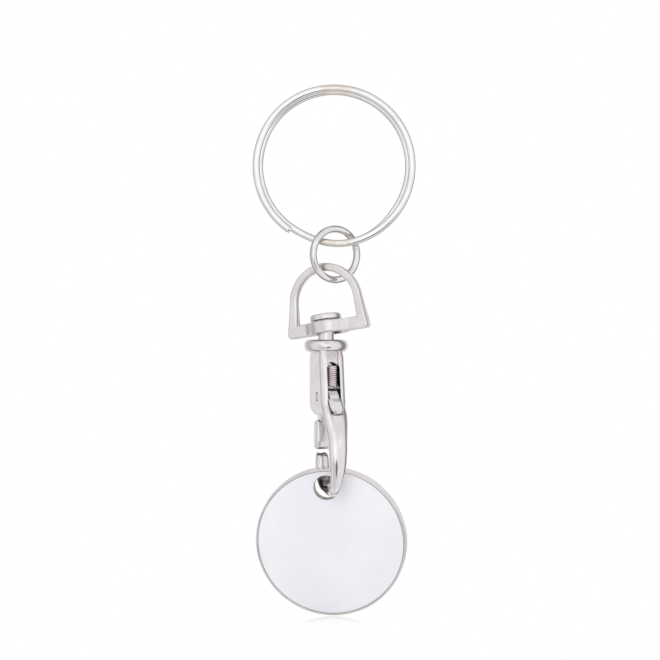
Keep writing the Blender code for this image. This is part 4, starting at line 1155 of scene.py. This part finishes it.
def makeInlay(size, name, node, side):
    floor = size["thickness"] / 2 - size["recess"] + size["floorGap"]
    r = size["radius"] - size["rim"] - size["radialGap"]
    high = floor + size["inlay"]
    corners = [(0, floor, 0), (r, floor, 0), (r, high, size["inlayEdge"]), (0, high, 0)]
    profile = [(a, side * b) for a, b in roundedProfile(corners, size["inlayEdgeSteps"])]
    hr, e = size["hole"] + size["holeGap"], size["inlayEdge"]
    outer, reach = side * high, size["thickness"]
    # the points run up through the disc, so those of the back are turned round
    wall = [(hr, side * floor), (hr, outer - side * e), (hr + e, outer)][::side]
    holeProfile = [(0, -reach), (wall[0][0], -reach), *wall, (wall[-1][0], reach), (0, reach)]
    piece = discWithHole(size, profile, holeProfile, name)
    dress(piece, inlayMaterial("white lacquer " + node, inlayLook), "token", node)


makeTokenBlank(token)
makeInlay(token, "frontInlay", "front_inlay", 1)
makeInlay(token, "backInlay", "back_inlay", -1)
print("token")

# studio: white surroundings, a floor that mirrors the token's foot faintly, soft lamps

studio = {
    "floorHalf": 600, "floorGap": 0.05, "mirrorReach": 26, "mirrorShare": 0.34,
    "mirrorPower": 3, "ambient": 1.0,
    # name, place, size and watts; all point at the target
    "lamps": (
        ("key", (-260, -420, 260), (320, 320), 0.3), ("fill", (320, -380, 40), (300, 380), 0.12),
    ),
    "target": (0, 0, -40),
    # what polished metal sees, from the camera's side to the back: pale, a dark gap, pale again
    "tent": (
        (0.0, (1.15, 1.14, 1.145)), (0.05, (0.96, 0.94, 0.95)), (0.12, (0.87, 0.85, 0.858)),
        (0.30, (0.92, 0.905, 0.912)), (0.42, (0.84, 0.82, 0.828)), (0.50, (0.48, 0.465, 0.47)),
        (0.60, (0.26, 0.25, 0.255)), (0.78, (0.30, 0.29, 0.295)), (0.86, (0.79, 0.775, 0.782)),
        (0.92, (0.88, 0.865, 0.872)), (1.0, (0.60, 0.58, 0.59)),
    ),
    # bands over it: cosines of their soft edges, then how strong
    "tentLeft": (0.82, 0.79, 0.805), "leftEdge": (-0.65, -0.25), "leftShare": 0.5,
    "tentWarm": (0.77, 0.71, 0.62), "warmSides": (0.12, 0.34), "warmEnds": (0.35, 0.7),
    "warmShare": 0.85,
    # round areas: where, the cosines of the soft edge, how strong and which colour
    "areas": (
        ((-0.35, -0.82, -0.45), 0.90, 0.97, 0.8, (0.62, 0.61, 0.615)),
        ((0.22, -0.91, -0.35), 0.972, 0.986, 0.9, (0.08, 0.07, 0.08)),
        ((-0.35, -0.75, 0.55), 0.94, 0.975, 0.7, (1.15, 1.15, 1.15)),
        ((0.66, -0.72, 0.18), 0.986, 0.995, 0.7, (1.1, 1.1, 1.1)),
        ((0, 1, 0.06), 0.985, 0.995, 1.0, (1, 1, 1)),
    ),
}


def makeWorld():
    world = bpy.data.worlds.new("light tent")
    bpy.context.scene.world = world
    kit = Shading(world)
    direction = kit.node("ShaderNodeTexCoord", take="Generated")
    x, y, z = kit.xyz(direction)
    tent = kit.ramp(y * 0.5 + 0.5, studio["tent"])
    left = kit.between(x, *studio["leftEdge"], studio["leftShare"], 0.0)
    tent = kit.mix(left, tent, studio["tentLeft"])
    middle = kit.between(abs(x), *studio["warmSides"], 1.0, 0.0)
    middle = middle * kit.between(abs(z), *studio["warmEnds"])
    tent = kit.mix(middle * studio["warmShare"], tent, studio["tentWarm"])
    for point, low, high, share, colour in studio["areas"]:
        facing = kit.node(
            "ShaderNodeVectorMath", {"operation": "DOT_PRODUCT"},
            {0: direction, 1: Vector(point).normalized()}, take="Value",
        )
        tent = kit.mix(kit.between(facing, low, high) * share, tent, colour)
    rays = kit.node("ShaderNodeLightPath", take=None)
    camera = Sock(kit, rays.outputs["Is Camera Ray"])
    glossy = Sock(kit, rays.outputs["Is Glossy Ray"])

    def background(colour, strength):
        return kit.node("ShaderNodeBackground", None, {"Color": colour, "Strength": strength})

    plain = background((1, 1, 1, 1), studio["ambient"])
    white, seen = background((1, 1, 1, 1), 1.0), background(tent, 1.0)
    shader = kit.node("ShaderNodeMixShader", None, {0: glossy, 1: plain, 2: seen})
    shader = kit.node("ShaderNodeMixShader", None, {0: camera, 1: shader, 2: white})
    kit.output(shader, "ShaderNodeOutputWorld")


def makeFloor(lowest):
    half = studio["floorHalf"] * mm
    level = lowest - studio["floorGap"] * mm
    bm = bmesh.new()
    corners = ((-half, -half), (half, -half), (half, half), (-half, half))
    bm.faces.new([bm.verts.new((x, y, level)) for x, y in corners])
    floor = newPiece(bm, "floor")
    material, kit = newMaterial("white acrylic floor")
    x, y, _ = kit.xyz(kit.coords())
    distance = (x * x + y * y) ** 0.5
    near = kit.between(distance, 0.0, studio["mirrorReach"] * mm, 1.0, 0.0) * studio["mirrorShare"]
    facing = kit.node("ShaderNodeLayerWeight", None, {"Blend": 0.5}, take="Facing")
    near = near * facing ** studio["mirrorPower"]
    rays = kit.node("ShaderNodeLightPath", take=None)
    camera = Sock(kit, rays.outputs["Is Camera Ray"])
    paint = kit.node("ShaderNodeBsdfDiffuse", None, {"Color": (0.86, 0.86, 0.86, 1)})
    white = kit.node("ShaderNodeEmission", None, {"Color": (1, 1, 1, 1), "Strength": 1.0})
    mirror = kit.node("ShaderNodeBsdfGlossy", None, {"Color": (1, 1, 1, 1), "Roughness": 0.03})
    seen = kit.node("ShaderNodeMixShader", None, {0: near, 1: white, 2: mirror})
    kit.output(kit.node("ShaderNodeMixShader", None, {0: camera, 1: paint, 2: seen}))
    floor.data.materials.append(material)
    floor.visible_glossy = False


def makeLamp(name, place, size, watts):
    data = bpy.data.lights.new(name, "AREA")
    data.shape = "RECTANGLE"
    data.size, data.size_y = size[0] * mm, size[1] * mm
    data.energy = watts
    lamp = bpy.data.objects.new(name, data)
    bpy.context.scene.collection.objects.link(lamp)
    lamp.location = mmVector(*place)
    away = lamp.location - mmVector(*studio["target"])
    lamp.rotation_euler = away.to_track_quat("Z", "Y").to_euler()
    lamp.visible_glossy = False


# the clip distances are in metres
view = {
    "distance": 700, "aim": (-0.63, 0, -36.04), "lens": 249, "sensor": 36, "clip": (0.01, 10),
}


def makeCamera():
    data = bpy.data.cameras.new("camera")
    data.lens, data.sensor_width = view["lens"], view["sensor"]
    data.clip_start, data.clip_end = view["clip"]
    camera = bpy.data.objects.new("camera", data)
    bpy.context.scene.collection.objects.link(camera)
    x, y, z = view["aim"]
    camera.location = mmVector(x, y - view["distance"], z)
    camera.rotation_euler = (math.pi / 2, 0, 0)
    bpy.context.scene.camera = camera


makeWorld()
makeFloor(cadLow.z)
for lamp in studio["lamps"]:
    makeLamp(*lamp)
makeCamera()
bpy.context.scene.view_settings.view_transform = "Standard"
print("studio")
